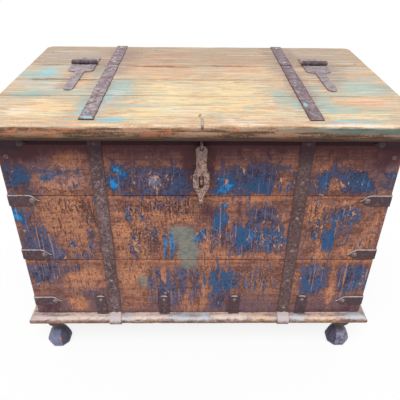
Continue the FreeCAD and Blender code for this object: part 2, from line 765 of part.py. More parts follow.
def add_hasp_eye():
    # A ring under the lid, its shank up through the front board, bent forward on top and down over the nose
    ring = Part.makeTorus(eye_ring_radius, eye_wire_radius, Vector(0, eye_y, eye_z), Vector(1, 0, 0))
    lift = eye_wire_radius + wire_hole_clearance
    rest_z = lid_top + lift
    nose_radius = (top_thickness ** 2 / 4 + nose_depth ** 2) / (2 * nose_depth)
    reach = nose_radius + lift
    tilt = math.radians(eye_tail_angle)
    center_y = front_edge + nose_radius
    center_z = (lid_top + lid_bottom) / 2
    turn_y = center_y + ((rest_z - center_z) * math.cos(tilt) - reach) / math.sin(tilt)
    tail_y = center_y - reach * math.sin(tilt) - eye_tail_length * math.cos(tilt)
    tail_z = center_z + reach * math.cos(tilt) - eye_tail_length * math.sin(tilt)
    shank = bent_wire(
        [
            Vector(0, eye_y, eye_z + eye_ring_radius),
            Vector(0, eye_y, rest_z),
            Vector(0, turn_y, rest_z),
            Vector(0, tail_y, tail_z),
        ],
        eye_bend, eye_wire_radius)
    pieces["hasp_eye"] = ring.fuse(shank)


def add_wall_staple():
    # A wire loop that stands in the upper part of the hasp's slot, clinched inside the wall
    slot_top_z = hasp_hole_z - hasp_slot_drop
    upper = slot_top_z - staple_slot_gap - staple_wire_radius
    lower = upper - staple_height + 2 * staple_wire_radius
    bend = (upper - lower) * staple_bend_share
    nose_y = wall_front - staple_reach + staple_wire_radius
    clinch_y = inner_front + bend
    pieces["wall_staple"] = bent_wire(
        [
            Vector(0, clinch_y, upper + staple_clinch),
            Vector(0, clinch_y, upper),
            Vector(0, nose_y, upper),
            Vector(0, nose_y, lower),
            Vector(0, clinch_y, lower),
            Vector(0, clinch_y, lower - staple_clinch),
        ],
        bend, staple_wire_radius)
    holes = [
        Part.makeCylinder(staple_wire_radius + wire_hole_clearance, wall_thickness,
                          Vector(0, wall_front, level), Vector(0, 1, 0))
        for level in (upper, lower)
    ]
    pieces["front_plank_top"] = pieces["front_plank_top"].cut(holes)


add_walls()
add_base_rails()
add_feet()
add_floor()
add_rear_top_board()
add_lid()
add_wall_straps()
add_top_straps()
add_corner_straps()
add_base_clips()
add_hinges()
add_hasp()
add_hasp_eye()
add_wall_staple()

for name, shape in pieces.items():
    save(name, bored(shape))
for name, group in nails.items():
    save(name, Part.Compound([nail_solid(*nail) for nail in group]))
print(len(pieces) + len(nails), "nodes")
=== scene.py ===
import bmesh
import bpy
import math
import numpy as np
from mathutils import Matrix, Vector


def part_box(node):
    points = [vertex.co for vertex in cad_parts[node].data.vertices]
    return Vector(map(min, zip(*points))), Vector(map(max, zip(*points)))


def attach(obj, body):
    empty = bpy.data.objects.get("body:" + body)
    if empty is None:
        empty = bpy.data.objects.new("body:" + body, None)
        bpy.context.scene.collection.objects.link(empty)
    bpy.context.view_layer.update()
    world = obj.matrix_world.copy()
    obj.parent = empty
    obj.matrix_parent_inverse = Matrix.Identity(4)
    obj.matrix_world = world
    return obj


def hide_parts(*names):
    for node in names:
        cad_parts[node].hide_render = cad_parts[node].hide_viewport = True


# painted storage chest: new skins over the CAD frame, metres, front faces -y
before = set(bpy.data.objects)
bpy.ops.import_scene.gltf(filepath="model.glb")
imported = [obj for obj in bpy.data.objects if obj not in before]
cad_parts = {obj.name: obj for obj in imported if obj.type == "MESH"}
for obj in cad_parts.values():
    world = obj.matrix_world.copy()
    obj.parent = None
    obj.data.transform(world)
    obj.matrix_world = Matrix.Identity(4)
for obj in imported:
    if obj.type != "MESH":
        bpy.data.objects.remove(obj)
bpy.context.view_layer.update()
scene = bpy.context.scene
scene.view_settings.view_transform = "Standard"
print("frame loaded")

# camera, lights and stage

view = {
    "place": (-0.01762, -1.09185, 1.0392),
    "pitch": math.radians(33.129),   # down from level
    "yaw": math.radians(-1.050),
    "roll": math.radians(0.675),
    "lens": 40.48,
    "sensor": 36.0,
}


def setCamera(v):
    # level axes turned by yaw, tipped down by pitch, then rolled about the line of sight
    right = np.array([math.cos(v["yaw"]), math.sin(v["yaw"]), 0])
    level = np.array([-math.sin(v["yaw"]), math.cos(v["yaw"]), 0])
    high = np.array([0, 0, 1.0])
    ahead = level * math.cos(v["pitch"]) - high * math.sin(v["pitch"])
    up = level * math.sin(v["pitch"]) + high * math.cos(v["pitch"])
    turn = np.eye(4)
    turn[:3, 0] = right * math.cos(v["roll"]) + up * math.sin(v["roll"])
    turn[:3, 1] = up * math.cos(v["roll"]) - right * math.sin(v["roll"])
    turn[:3, 2] = -ahead
    turn[:3, 3] = v["place"]
    data = bpy.data.cameras.new("photoCamera")
    data.lens = v["lens"]
    data.sensor_width = v["sensor"]
    camera = bpy.data.objects.new("photoCamera", data)
    camera.matrix_world = Matrix(turn.tolist())
    scene.collection.objects.link(camera)
    scene.camera = camera


setCamera(view)


class Value:
    # a node output that can be added, multiplied and so on
    def __init__(self, look, socket):
        self.look, self.socket = look, socket

    def __add__(self, other): return self.look.math("ADD", self, other)
    def __radd__(self, other): return self.look.math("ADD", other, self)
    def __sub__(self, other): return self.look.math("SUBTRACT", self, other)
    def __rsub__(self, other): return self.look.math("SUBTRACT", other, self)
    def __mul__(self, other): return self.look.math("MULTIPLY", self, other)
    def __rmul__(self, other): return self.look.math("MULTIPLY", other, self)


class Look:
    # one material and its node tree
    def __init__(self, name, block=None):
        self.block = block or bpy.data.materials.new(name)
        self.block.use_nodes = True
        self.tree = self.block.node_tree
        self.tree.nodes.clear()

    def add(self, kind, settings, inputs, out=0):
        node = self.tree.nodes.new(kind)
        for key, value in settings.items():
            setattr(node, key, value)
        for key, value in inputs.items():
            if isinstance(value, Value):
                self.tree.links.new(value.socket, node.inputs[key])
            else:
                node.inputs[key].default_value = value
        return Value(self, node.outputs[out]) if node.outputs else node

    def math(self, kind, a, b=0.0):
        return self.add("ShaderNodeMath", {"operation": kind}, {0: a, 1: b})

    def ramp(self, value, low, high, toLow=0.0, toHigh=1.0):
        return self.add("ShaderNodeMapRange", {"interpolation_type": "SMOOTHSTEP"},
                        {0: value, 1: low, 2: high, 3: toLow, 4: toHigh})

    def mix(self, share, a, b):
        # each colour is a link or three numbers
        a, b = [c if isinstance(c, Value) else (*c, 1.0) for c in (a, b)]
        return self.add("ShaderNodeMix", {"data_type": "RGBA"}, {0: share, 6: a, 7: b}, 2)

    def coat(self, under, value, low, high, most, tint):
        # a tint laid over a colour as the value runs from low to high, up to the share most
        return self.mix(self.ramp(value, low, high, 0, most), under, tint)

    def place(self):
        return self.add("ShaderNodeTexCoord", {}, {}, "Object")

    def stretch(self, vector, x, y, z):
        return self.add("ShaderNodeVectorMath", {"operation": "MULTIPLY"}, {0: vector, 1: (x, y, z)})

    def noise(self, vector, scale, detail, rough, twist=0.0):
        # the scale is one number, or one for each axis
        if isinstance(scale, tuple):
            vector, scale = self.stretch(vector, *scale), 1.0
        return self.add("ShaderNodeTexNoise", {}, {
            "Vector": vector, "Scale": scale, "Detail": detail, "Roughness": rough, "Distortion": twist})

    def cells(self, vector, scale):
        return self.add("ShaderNodeTexVoronoi", {}, {"Vector": vector, "Scale": scale})

    def outs(self, value):
        return [Value(self, s) for s in value.socket.node.outputs]

    def parts(self, vector):
        return self.outs(self.add("ShaderNodeSeparateXYZ", {}, {0: vector}))

    def masks(self, name):
        # four of the wear masks that a piece carries in its colour attributes
        color = self.add("ShaderNodeAttribute", {"attribute_name": name}, {}, "Color")
        alpha = Value(self, color.socket.node.outputs["Alpha"])
        return self.outs(self.add("ShaderNodeSeparateColor", {}, {0: color})) + [alpha]

    def facing(self):
        # which way the surface looks, in the piece's own frame, so that it stays with a lid that swings
        return self.parts(self.add("ShaderNodeTexCoord", {}, {}, "Normal"))

    def seen(self):
        # rays that meet the white background: the camera's, and those off metal or through glass
        camera, glossy, clear = [self.add("ShaderNodeLightPath", {}, {}, "Is " + kind + " Ray")
                                 for kind in ("Camera", "Glossy", "Transmission")]
        return self.math("MINIMUM", camera + glossy + clear, 1.0)

    def bump(self, height, distance, strength):
        return self.add("ShaderNodeBump", {},
                        {"Height": height, "Distance": distance, "Strength": strength})

    def finish(self, color, rough, normal, gloss=0.25, metal=0.0):
        shader = self.add("ShaderNodeBsdfPrincipled", {}, {
            "Base Color": color, "Roughness": rough, "Metallic": metal,
            "Specular IOR Level": gloss, "Normal": normal})
        self.add("ShaderNodeOutputMaterial", {}, {0: shader})
        return self.block


lamps = {
    "skyLevel": 0.42,
    "sunLevel": 2.30,                # pi here lights a facing surface at its own colour
    "sunAngle": math.radians(38),
    "sunTilt": math.radians(30),     # from overhead toward the viewer
    "sunTurn": math.radians(-6),
    "floorHalf": 6.0,
    "floorTone": 0.97,
    "floorShadow": 0.16,             # how much of the shadow the camera sees
}


def setStage(s):
    # white all round, one soft sun, and a white floor that shows part of the shadow
    sky = Look("sky", bpy.data.worlds.new("sky"))
    scene.world = sky.block
    blank, tone = (1, 1, 1, 1), s["floorTone"]
    glow = sky.add("ShaderNodeBackground", {}, {"Color": blank, "Strength": s["skyLevel"]})
    white = sky.add("ShaderNodeBackground", {}, {"Color": blank, "Strength": 1.0})
    both = sky.add("ShaderNodeMixShader", {}, {0: sky.seen(), 1: glow, 2: white})
    sky.add("ShaderNodeOutputWorld", {}, {0: both})
    sun = bpy.data.lights.new("daylight", "SUN")
    sun.energy = s["sunLevel"]
    sun.angle = s["sunAngle"]
    lamp = bpy.data.objects.new("daylight", sun)
    lamp.rotation_euler = (s["sunTilt"], 0, s["sunTurn"])
    scene.collection.objects.link(lamp)
    h = s["floorHalf"]
    mesh = bpy.data.meshes.new("floor")
    mesh.from_pydata([(-h, -h, 0), (h, -h, 0), (h, h, 0), (-h, h, 0)], [], [(0, 1, 2, 3)])
    floor = bpy.data.objects.new("floor", mesh)
    scene.collection.objects.link(floor)
    paper = Look("floorPaper")
    diffuse = paper.add("ShaderNodeBsdfDiffuse", {}, {"Color": (tone, tone, tone, 1)})
    white = paper.add("ShaderNodeEmission", {}, {"Color": blank, "Strength": 1.0})
    share = paper.seen() * (1 - s["floorShadow"])
    both = paper.add("ShaderNodeMixShader", {}, {0: share, 1: diffuse, 2: white})
    paper.add("ShaderNodeOutputMaterial", {}, {0: both})
    mesh.materials.append(paper.block)


setStage(lamps)
print("camera and stage set")

# surfaces


def ripple(points, size, seed):
    # smooth unevenness, about -1 to 1: the mean of eight sine waves in random directions
    rng = np.random.default_rng(seed)
    waves = rng.normal(size=(8, 3))
    waves /= np.linalg.norm(waves, axis=1, keepdims=True)
    waves *= 2 * np.pi / size * rng.uniform(0.6, 1.5, (8, 1))
    return np.sin(points @ waves.T + rng.uniform(0, 6.28, 8)).mean(-1) * 1.8


def uneven(points, size, seed):
    # the same unevenness from 0 to 1
    return np.clip(0.5 + 0.5 * ripple(points, size, seed), 0, 1)


def section(wide, high, corner):
    # a rounded rectangle as a loop: shares of the two half sizes, and the outward direction
    a = np.linspace(1, -1, wide + 2)[1:-1]
    b = np.linspace(1, -1, high + 2)[1:-1]
    t = np.linspace(0, np.pi / 2, corner)
    one, flat = np.ones(corner), np.zeros
    ka = np.r_[one, a, -one, -np.ones(high), -one, -a, one, np.ones(high)]
    kb = np.r_[one, np.ones(wide), one, b, -one, -np.ones(wide), -one, -b]
    ca = np.r_[np.cos(t), flat(wide), np.cos(t + np.pi / 2), -np.ones(high),
               np.cos(t + np.pi), flat(wide), np.cos(t + 1.5 * np.pi), np.ones(high)]
    cb = np.r_[np.sin(t), np.ones(wide), np.sin(t + np.pi / 2), flat(high),
               np.sin(t + np.pi), -np.ones(wide), np.sin(t + 1.5 * np.pi), flat(high)]
    return ka, kb, ca, cb


def sweep(path, side, up, half, thick, radius, form):
    # point = path + side * (ka (half - r) + r ca) + up * (kb (thick - r) + r cb), and its outward direction
    ka, kb, ca, cb = form
    half = np.broadcast_to(half, len(path))[:, None]
    thick = np.broadcast_to(thick, len(path))[:, None]
    r = np.minimum(np.minimum(radius, half * 0.98), thick * 0.98)
    u = ka * (half - r) + r * ca
    v = kb * (thick - r) + r * cb
    points = path[:, None] + side[:, None] * u[..., None] + up[:, None] * v[..., None]
    out = side[:, None] * ca[:, None] + up[:, None] * cb[:, None]
    return points, out / np.linalg.norm(out, axis=-1, keepdims=True)


def faces(rows, columns, start=0):
    # quads between neighbouring rings, and a flat end on each end
    i, j = np.meshgrid(np.arange(rows - 1), np.arange(columns), indexing="ij")
    k, l = i + 1, (j + 1) % columns
    quads = np.stack([i * columns + j, i * columns + l, k * columns + l, k * columns + j], -1)
    ring, last = np.arange(columns) + start, (rows - 1) * columns
    return (quads.reshape(-1, 4) + start).tolist() + [ring[::-1].tolist(), (ring + last).tolist()]


finishes = {}                        # the material of each slot


def addSkin(node, shells, body, slot, name=None):
    # shells are (points, wear) grids; together they become one mesh that stands for the node
    verts, polys, masks, start = [], [], [], 0
    for points, wear in shells:
        rows, columns = points.shape[:2]
        polys += faces(rows, columns, start)
        verts.append(points.reshape(-1, 3))
        masks.append(np.zeros((rows * columns, 8)) if wear is None else wear.reshape(-1, 8))
        start += rows * columns
    mesh = bpy.data.meshes.new("skin_" + (name or node))
    mesh.from_pydata(np.concatenate(verts).tolist(), [], polys)
    dress(mesh, np.concatenate(masks), node, body, slot)


def dress(mesh, masks, node, body, slot):
    # wear masks, material, outward faces, then the object and its place in the frame
    for attribute, part in (("wear", masks[:, :4]), ("tone", masks[:, 4:])):
        tint = mesh.attributes.new(attribute, "FLOAT_COLOR", "POINT")
        tint.data.foreach_set("color", part.astype(np.float32).ravel())
    mesh.materials.append(finishes[slot])
    mesh.polygons.foreach_set("use_smooth", np.ones(len(mesh.polygons), bool))
    turnOut(mesh)
    piece = bpy.data.objects.new(mesh.name, mesh)
    scene.collection.objects.link(piece)
    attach(piece, body)
    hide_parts(node)


def turnOut(mesh):
    # every face looks outward
    work = bmesh.new()
    work.from_mesh(mesh)
    bmesh.ops.recalc_face_normals(work, faces=work.faces)
    work.to_mesh(mesh)
    work.free()


def corners(node):
    # the lowest and highest corner of a node's box
    low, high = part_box(node)
    return np.array(low), np.array(high)


def softBoxes(a, b, boxes):
    # sum of amount * exp(-|da/wa|^2.6 - |db/wb|^2.6) over the boxes (centre a, centre b, wa, wb, amount)
    total = np.zeros_like(a)
    for ca, cb, wa, wb, amount in boxes:
        total += amount / 100 * np.exp(-np.abs((a - ca) / wa) ** 2.6 - np.abs((b - cb) / wb) ** 2.6)
    return np.clip(total, 0, 1)


def endRound(length, radius, count, spacing):
    # stations along a bar, closer together where its ends turn over, and the inset there
    t = np.linspace(0, 1, count) ** 2 * radius
    body = np.linspace(radius, length - radius, max(int(length / spacing), 2))[1:-1]
    s = np.r_[t, body, length - t[::-1]]
    near = np.minimum(np.minimum(s, length - s), radius)
    return s, radius - np.sqrt(np.maximum(radius ** 2 - (radius - near) ** 2, 0))


axes = np.eye(3)

# plank walls

planks = {
    "radius": 0.0022,
    "spacing": 0.0030,
    "across": 0.0014,
    "chip": 0.0016,                  # deepest bite out of an edge
    "sag": 0.0005,                   # unevenness of the faces
    "middleY": 0.017,                # middle of the box from front to back
    "topJoint": 0.4915,              # between the top and the middle row
    # loose wear of each kind on the other outer faces: base, swing, size and seed of its unevenness;
    # the third kind, pale film, is on the front only
    "loose": [(0.30, 0.34, 0.21, 31), (0.28, 0.35, 0.13, 32), (0, 0, 1, 0), (0.12, 0.22, 0.17, 33),
              (0.38, 0.35, 0.15, 38), (0.45, 0.4, 0.11, 39), (0.34, 0.35, 0.19, 40)],
    "looseLidShade": (0.6, 0.6, 0.048),  # painted shade under the lid on the other outer faces: amount, height where it starts, and rise until it is full
    # the same for the front, each with its kind of wear first; a falling one counts downward. These are
    # painted shade: the dark kind rises into the lid's shadow and thins above where the nose hides the
    # wall, and the dark and mauve kinds darken the wall toward the rail
    "steps": [(3, 0.48, 0.545, 0.04), (3, 0.40, 0.590, 0.03), (3, 1.0, 0.6125, 0.006),
              (3, -1.4, 0.632, 0.010), (3, 0.25, 0.137, -0.014), (6, 0.45, 0.155, -0.025)],
    # heights where the lip under a joint, worn orange and lightened as a painted highlight on the plank's
    # top edge, starts, is full, and ends
    "lips": [(0.481, 0.487, 0.4915, 0.4925), (0.292, 0.298, 0.3027, 0.3037)],
    "lidShade": (0.6165, 0.6205, 0.629, 0.638),    # painted shadow under the lid's nose starts, is full, thins and ends
}

# wear of the front, placed one by one: x, z, half width, half height in mm, and amount in hundredths
# the dark marks hold dark stains and also painted shadow round the hasp and under the lid
frontWearAndShade = {
    "blue": [
        (-407, 538, 33, 40, 75), (-392, 599, 34, 21, 30), (-336, 557, 30, 6, 30), (-334, 537, 14, 8, 70),
        (-299, 551, 34, 7, 45), (-280, 509, 33, 12, 12), (-112, 530, 97, 36, 74), (-188, 565, 12, 9, 80),
        (-171, 549, 8, 9, 80), (-195, 522, 6, 14, 90), (-66, 528, 32, 34, 40), (-42, 532, 26, 37, 45),
        (-142, 527, 18, 26, -16), (-79, 537, 11, 18, -8), (-110, 497, 99, 5, 30), (-420, 437, 13, 20, 80),
        (-394, 418, 22, 39, 42), (-409, 366, 25, 36, 45), (-378, 347, 34, 43, 62), (-346, 322, 22, 20, 50),
        (-259, 434, 16, 20, 25), (-307, 352, 10, 11, 50), (-262, 385, 10, 18, 45), (-259, 347, 18, 17, 25),
        (-282, 316, 43, 13, 38), (-167, 445, 9, 26, 72), (-137, 444, 7, 21, 62), (-97, 465, 18, 11, 55),
        (-157, 358, 13, 45, 70), (-114, 366, 17, 37, 54), (-84, 351, 3.6, 36, 140),
        (-67, 354, 5.6, 40, 140), (-12, 371, 11, 26, 55), (-102, 465, 100, 17, 15), (-393, 262, 40, 29, 84),
        (-319, 276, 31, 13, 42), (-271, 188, 31, 22, 30), (-126, 238, 6, 40, 50), (-106, 256, 7, 22, 48),
        (-85, 193, 37, 51, 66), (-40, 263, 40, 20, 30), (-41, 234, 8, 43, 50), (-12, 209, 13, 68, 42),
        (-390, 144, 34, 23, 20), (121, 535, 88, 40, 78), (52, 519, 19, 23, 60), (119, 529, 40, 31, 25),
        (78, 522, 9, 13, -45), (166, 529, 7, 27, -40), (185, 530, 10, 24, -42), (347, 531, 95, 35, 80),
        (349, 527, 29, 29, 30), (272, 522, 12, 23, 20), (304, 522, 21, 22, -50), (392, 545, 22, 48, -45),
        (428, 528, 14, 26, -10), (12, 454, 14, 22, 20), (55, 466, 9, 12, 70), (44, 422, 18, 38, 80),
        (102, 371, 27, 43, 95), (148, 440, 38, 26, 80), (165, 369, 46, 40, 66), (7, 382, 8, 16, 80),
        (45, 366, 31, 43, 42), (188, 435, 12, 20, -20), (275, 396, 21, 30, 56), (337, 438, 36, 24, 74),
        (312, 366, 16, 34, 80), (357, 370, 16, 17, 30), (346, 400, 14, 15, 25), (58, 232, 37, 46, 80),
        (51, 247, 6, 25, -35), (150, 234, 57, 56, 30), (50, 156, 22, 31, 46), (294, 234, 37, 56, 78),
        (342, 198, 11, 79, -50), (392, 241, 47, 49, 82), (410, 228, 27, 22, -22),
    ],
    "royal": [
        (-401, 538, 21, 25, 55), (-334, 537, 14, 8, 85), (-188, 565, 16, 12, 95), (-171, 549, 13, 13, 90),
        (-195, 522, 11, 17, 95), (-421, 437, 14, 23, 110), (-307, 352, 10, 11, 60), (-262, 385, 10, 18, 50),
        (-167, 445, 9, 26, 45), (-137, 444, 7, 21, 35), (-84, 351, 6, 40, 125), (-67, 354, 10, 44, 130),
        (-12, 371, 11, 26, 60), (-378, 347, 34, 43, 25), (-42, 532, 26, 37, 25), (51, 518, 20, 24, 115),
        (119, 529, 40, 31, 55), (349, 527, 29, 29, 38), (272, 522, 12, 23, 50), (426, 532, 16, 29, 20),
        (55, 466, 9, 12, 110), (44, 422, 18, 38, 65), (102, 371, 27, 43, 68), (165, 369, 46, 40, 66),
        (7, 382, 8, 16, 100), (275, 396, 21, 30, 50), (337, 438, 36, 24, 58), (315, 366, 20, 37, 75),
        (357, 370, 16, 17, 40), (58, 232, 37, 46, 30), (294, 234, 37, 56, 30), (392, 241, 47, 49, 30),
        (347, 531, 95, 35, 25),
    ],
    "pale": [
        (-44, 397, 33, 13, 105), (-39, 374, 29, 17, 115), (-30, 342, 27, 18, 115), (-28, 318, 27, 16, 110),
        (-25, 288, 26, 17, 90), (-145, 233, 17, 27, 78), (-103, 532, 16, 17, 58), (-300, 402, 17, 24, 28),
        (-305, 542, 68, 44, 34),
    ],
    # dark stains, and painted shadow round the hasp and under the lid
    "dark": [
        (-383, 599, 42, 21, 45), (-249, 612, 10, 9, 50), (-27, 555, 17, 62, 55), (-98, 465, 18, 11, 50),
        (-105, 495, 103, 4, 35), (-391, 143, 34, 23, 60), (-113, 366, 16, 37, 25), (-408, 366, 24, 36, 25),
        (22, 553, 12, 50, 50), (17, 450, 20, 26, 72), (89, 452, 9, 24, 66), (387, 545, 20, 48, 45),
        (413, 144, 35, 27, 50), (325, 141, 54, 24, 35), (87, 153, 21, 34, 50), (412, 588, 15, 22, 40),
    ],
    "bare": [
        (-286, 590, 44, 22, 55), (-309, 534, 65, 37, 40), (-308, 409, 70, 80, 50), (-297, 485, 65, 4, 30),
        (-95, 483, 93, 7, 35), (-141, 390, 69, 86, 45), (-46, 432, 35, 17, 35), (-293, 236, 59, 41, 55),
        (-319, 154, 24, 27, 80), (-160, 243, 43, 48, 45), (-91, 245, 11, 33, 60), (-29, 156, 31, 38, 60),
        (-185, 359, 13, 55, 30), (-169, 154, 42, 34, 20), (-146, 531, 22, 29, 28), (287, 566, 33, 9, 70),
        (178, 529, 17, 26, 20), (96, 481, 98, 10, 40), (304, 522, 21, 22, 50), (38, 364, 39, 44, 62),
        (62, 398, 15, 68, 35), (188, 435, 12, 20, 35), (106, 316, 106, 14, 55), (269, 454, 26, 28, 65),
        (339, 474, 25, 14, 50), (408, 398, 34, 68, 35), (294, 335, 20, 32, 50), (367, 329, 27, 25, 50),
        (25, 282, 25, 18, 50), (150, 234, 57, 56, 40), (11, 192, 10, 72, 40), (342, 198, 11, 79, 65),
        (454, 218, 5, 25, 30), (242, 236, 15, 42, 35),
    ],
    "speck": [
        (-300, 465, 66, 22, 90), (-331, 399, 47, 44, 55), (-259, 431, 16, 23, 90), (-102, 465, 100, 22, 90),
        (-142, 373, 60, 69, 80), (-44, 448, 36, 34, 70), (-139, 257, 18, 20, 40), (-314, 506, 67, 12, 50),
        (-119, 529, 51, 31, 45), (-283, 335, 49, 31, 50), (273, 425, 26, 58, 90), (38, 366, 39, 43, 60),
        (165, 372, 46, 43, 70), (142, 471, 53, 11, 40), (150, 229, 57, 49, 55), (336, 441, 35, 26, 50),
        (26, 243, 26, 48, 30), (184, 529, 27, 31, 50), (296, 522, 31, 23, 50),
    ],
    "mauve": [
        (-378, 592, 49, 33, 70), (-290, 606, 60, 24, 40), (-310, 540, 70, 45, 55), (-293, 236, 60, 45, 35),
        (-308, 409, 70, 70, 22), (-375, 502, 29, 16, 40), (-111, 597, 100, 25, 35), (-390, 264, 48, 40, 60),
        (-412, 356, 41, 52, 45), (-277, 172, 38, 51, 45), (-393, 158, 50, 37, 55), (-100, 157, 37, 37, 40),
        (-232, 359, 19, 55, 30), (-134, 301, 84, 10, 30), (112, 594, 98, 24, 40), (145, 440, 54, 31, 45),
        (400, 549, 40, 56, 80), (368, 488, 53, 5, 40), (145, 156, 80, 38, 60), (356, 148, 92, 31, 70),
        (239, 304, 20, 26, 35), (409, 383, 36, 66, 35), (416, 211, 29, 32, 45), (36, 153, 35, 34, 30),
    ],
}


def wander(points, seed):
    # ragged outlines for placed marks: two sizes of sideways unevenness, in mm
    return 4 * ripple(points, 0.024, seed) + 2.2 * ripple(points, 0.008, seed + 1)


def wallWearAndShade(points, outward):
    # the placed wear shows on the front; other outer faces get loose wear of the same kinds, inner faces
    # hardly any; painted shade is added toward the lid and the rail
    z = points[..., 2]
    kinds = [base + swing * ripple(points, size, seed) for base, swing, size, seed in planks["loose"]]
    wear = np.stack(kinds + [np.where(z < planks["topJoint"], 1.0, 0.35)], -1)
    # painted shade: the other outer faces darken toward the lid
    amount, start, rise = planks["looseLidShade"]
    wear[..., 3] += amount * np.clip((z - start) / rise, 0, 1)
    inner = np.sign(outward * (points - [0, planks["middleY"], 0]))[..., :2].sum(-1) < 0
    wear[inner] = 0, 0, 0, 0.1, 0, 0, 0.3, 1
    front = (outward[..., 1] < -0.5) & (points[..., 1] < -0.2)
    at = points[front]
    strayX, strayZ = wander(at, 34), 1.5 * wander(at, 36)
    for i, (name, boxes) in enumerate(frontWearAndShade.items()):
        share = 0.3 if name == "pale" else 1.0
        across, height = at[:, 0] * 1000 + share * strayX, at[:, 2] * 1000 + share * strayZ
        wear[front, i] = softBoxes(across, height, boxes)
    # painted shade under the lid and along the rail
    for i, amount, start, rise in planks["steps"]:
        wear[front, i] += amount * np.clip((at[:, 2] - start) / rise, 0, 1)
    return wear


def plankGrid(node, along, across, settings, seed, wear=None):
    # a bar with rounded, bitten edges that fills the node's box
    low, high = corners(node)
    out = 3 - along - across
    middle, half = (low + high) / 2, (high - low) / 2
    s, inset = endRound(2 * half[along], settings["radius"], 5, settings["spacing"])
    path = np.tile(middle, (len(s), 1))
    path[:, along] = low[along] + s
    side = np.tile(axes[across], (len(s), 1))
    up = np.tile(axes[out], (len(s), 1))
    form = section(max(int(half[across] / settings["across"]), 6), 5, 4)
    points, normal = sweep(path, side, up, half[across] - inset, half[out] - inset,
                           settings["radius"], form)
    edge = (np.abs(form[2] * form[3]) * 2)[None]
    bite = np.clip(ripple(points, 0.045, seed) + 0.5 * ripple(points, 0.014, seed + 1) - 0.35, 0, 1)
    dent = settings["chip"] * edge * bite + settings["sag"] * uneven(points, 0.11, seed + 2)
    points = points - normal * dent[..., None]
    return points, None if wear is None else wear(points, normal)


# wall and inner wood


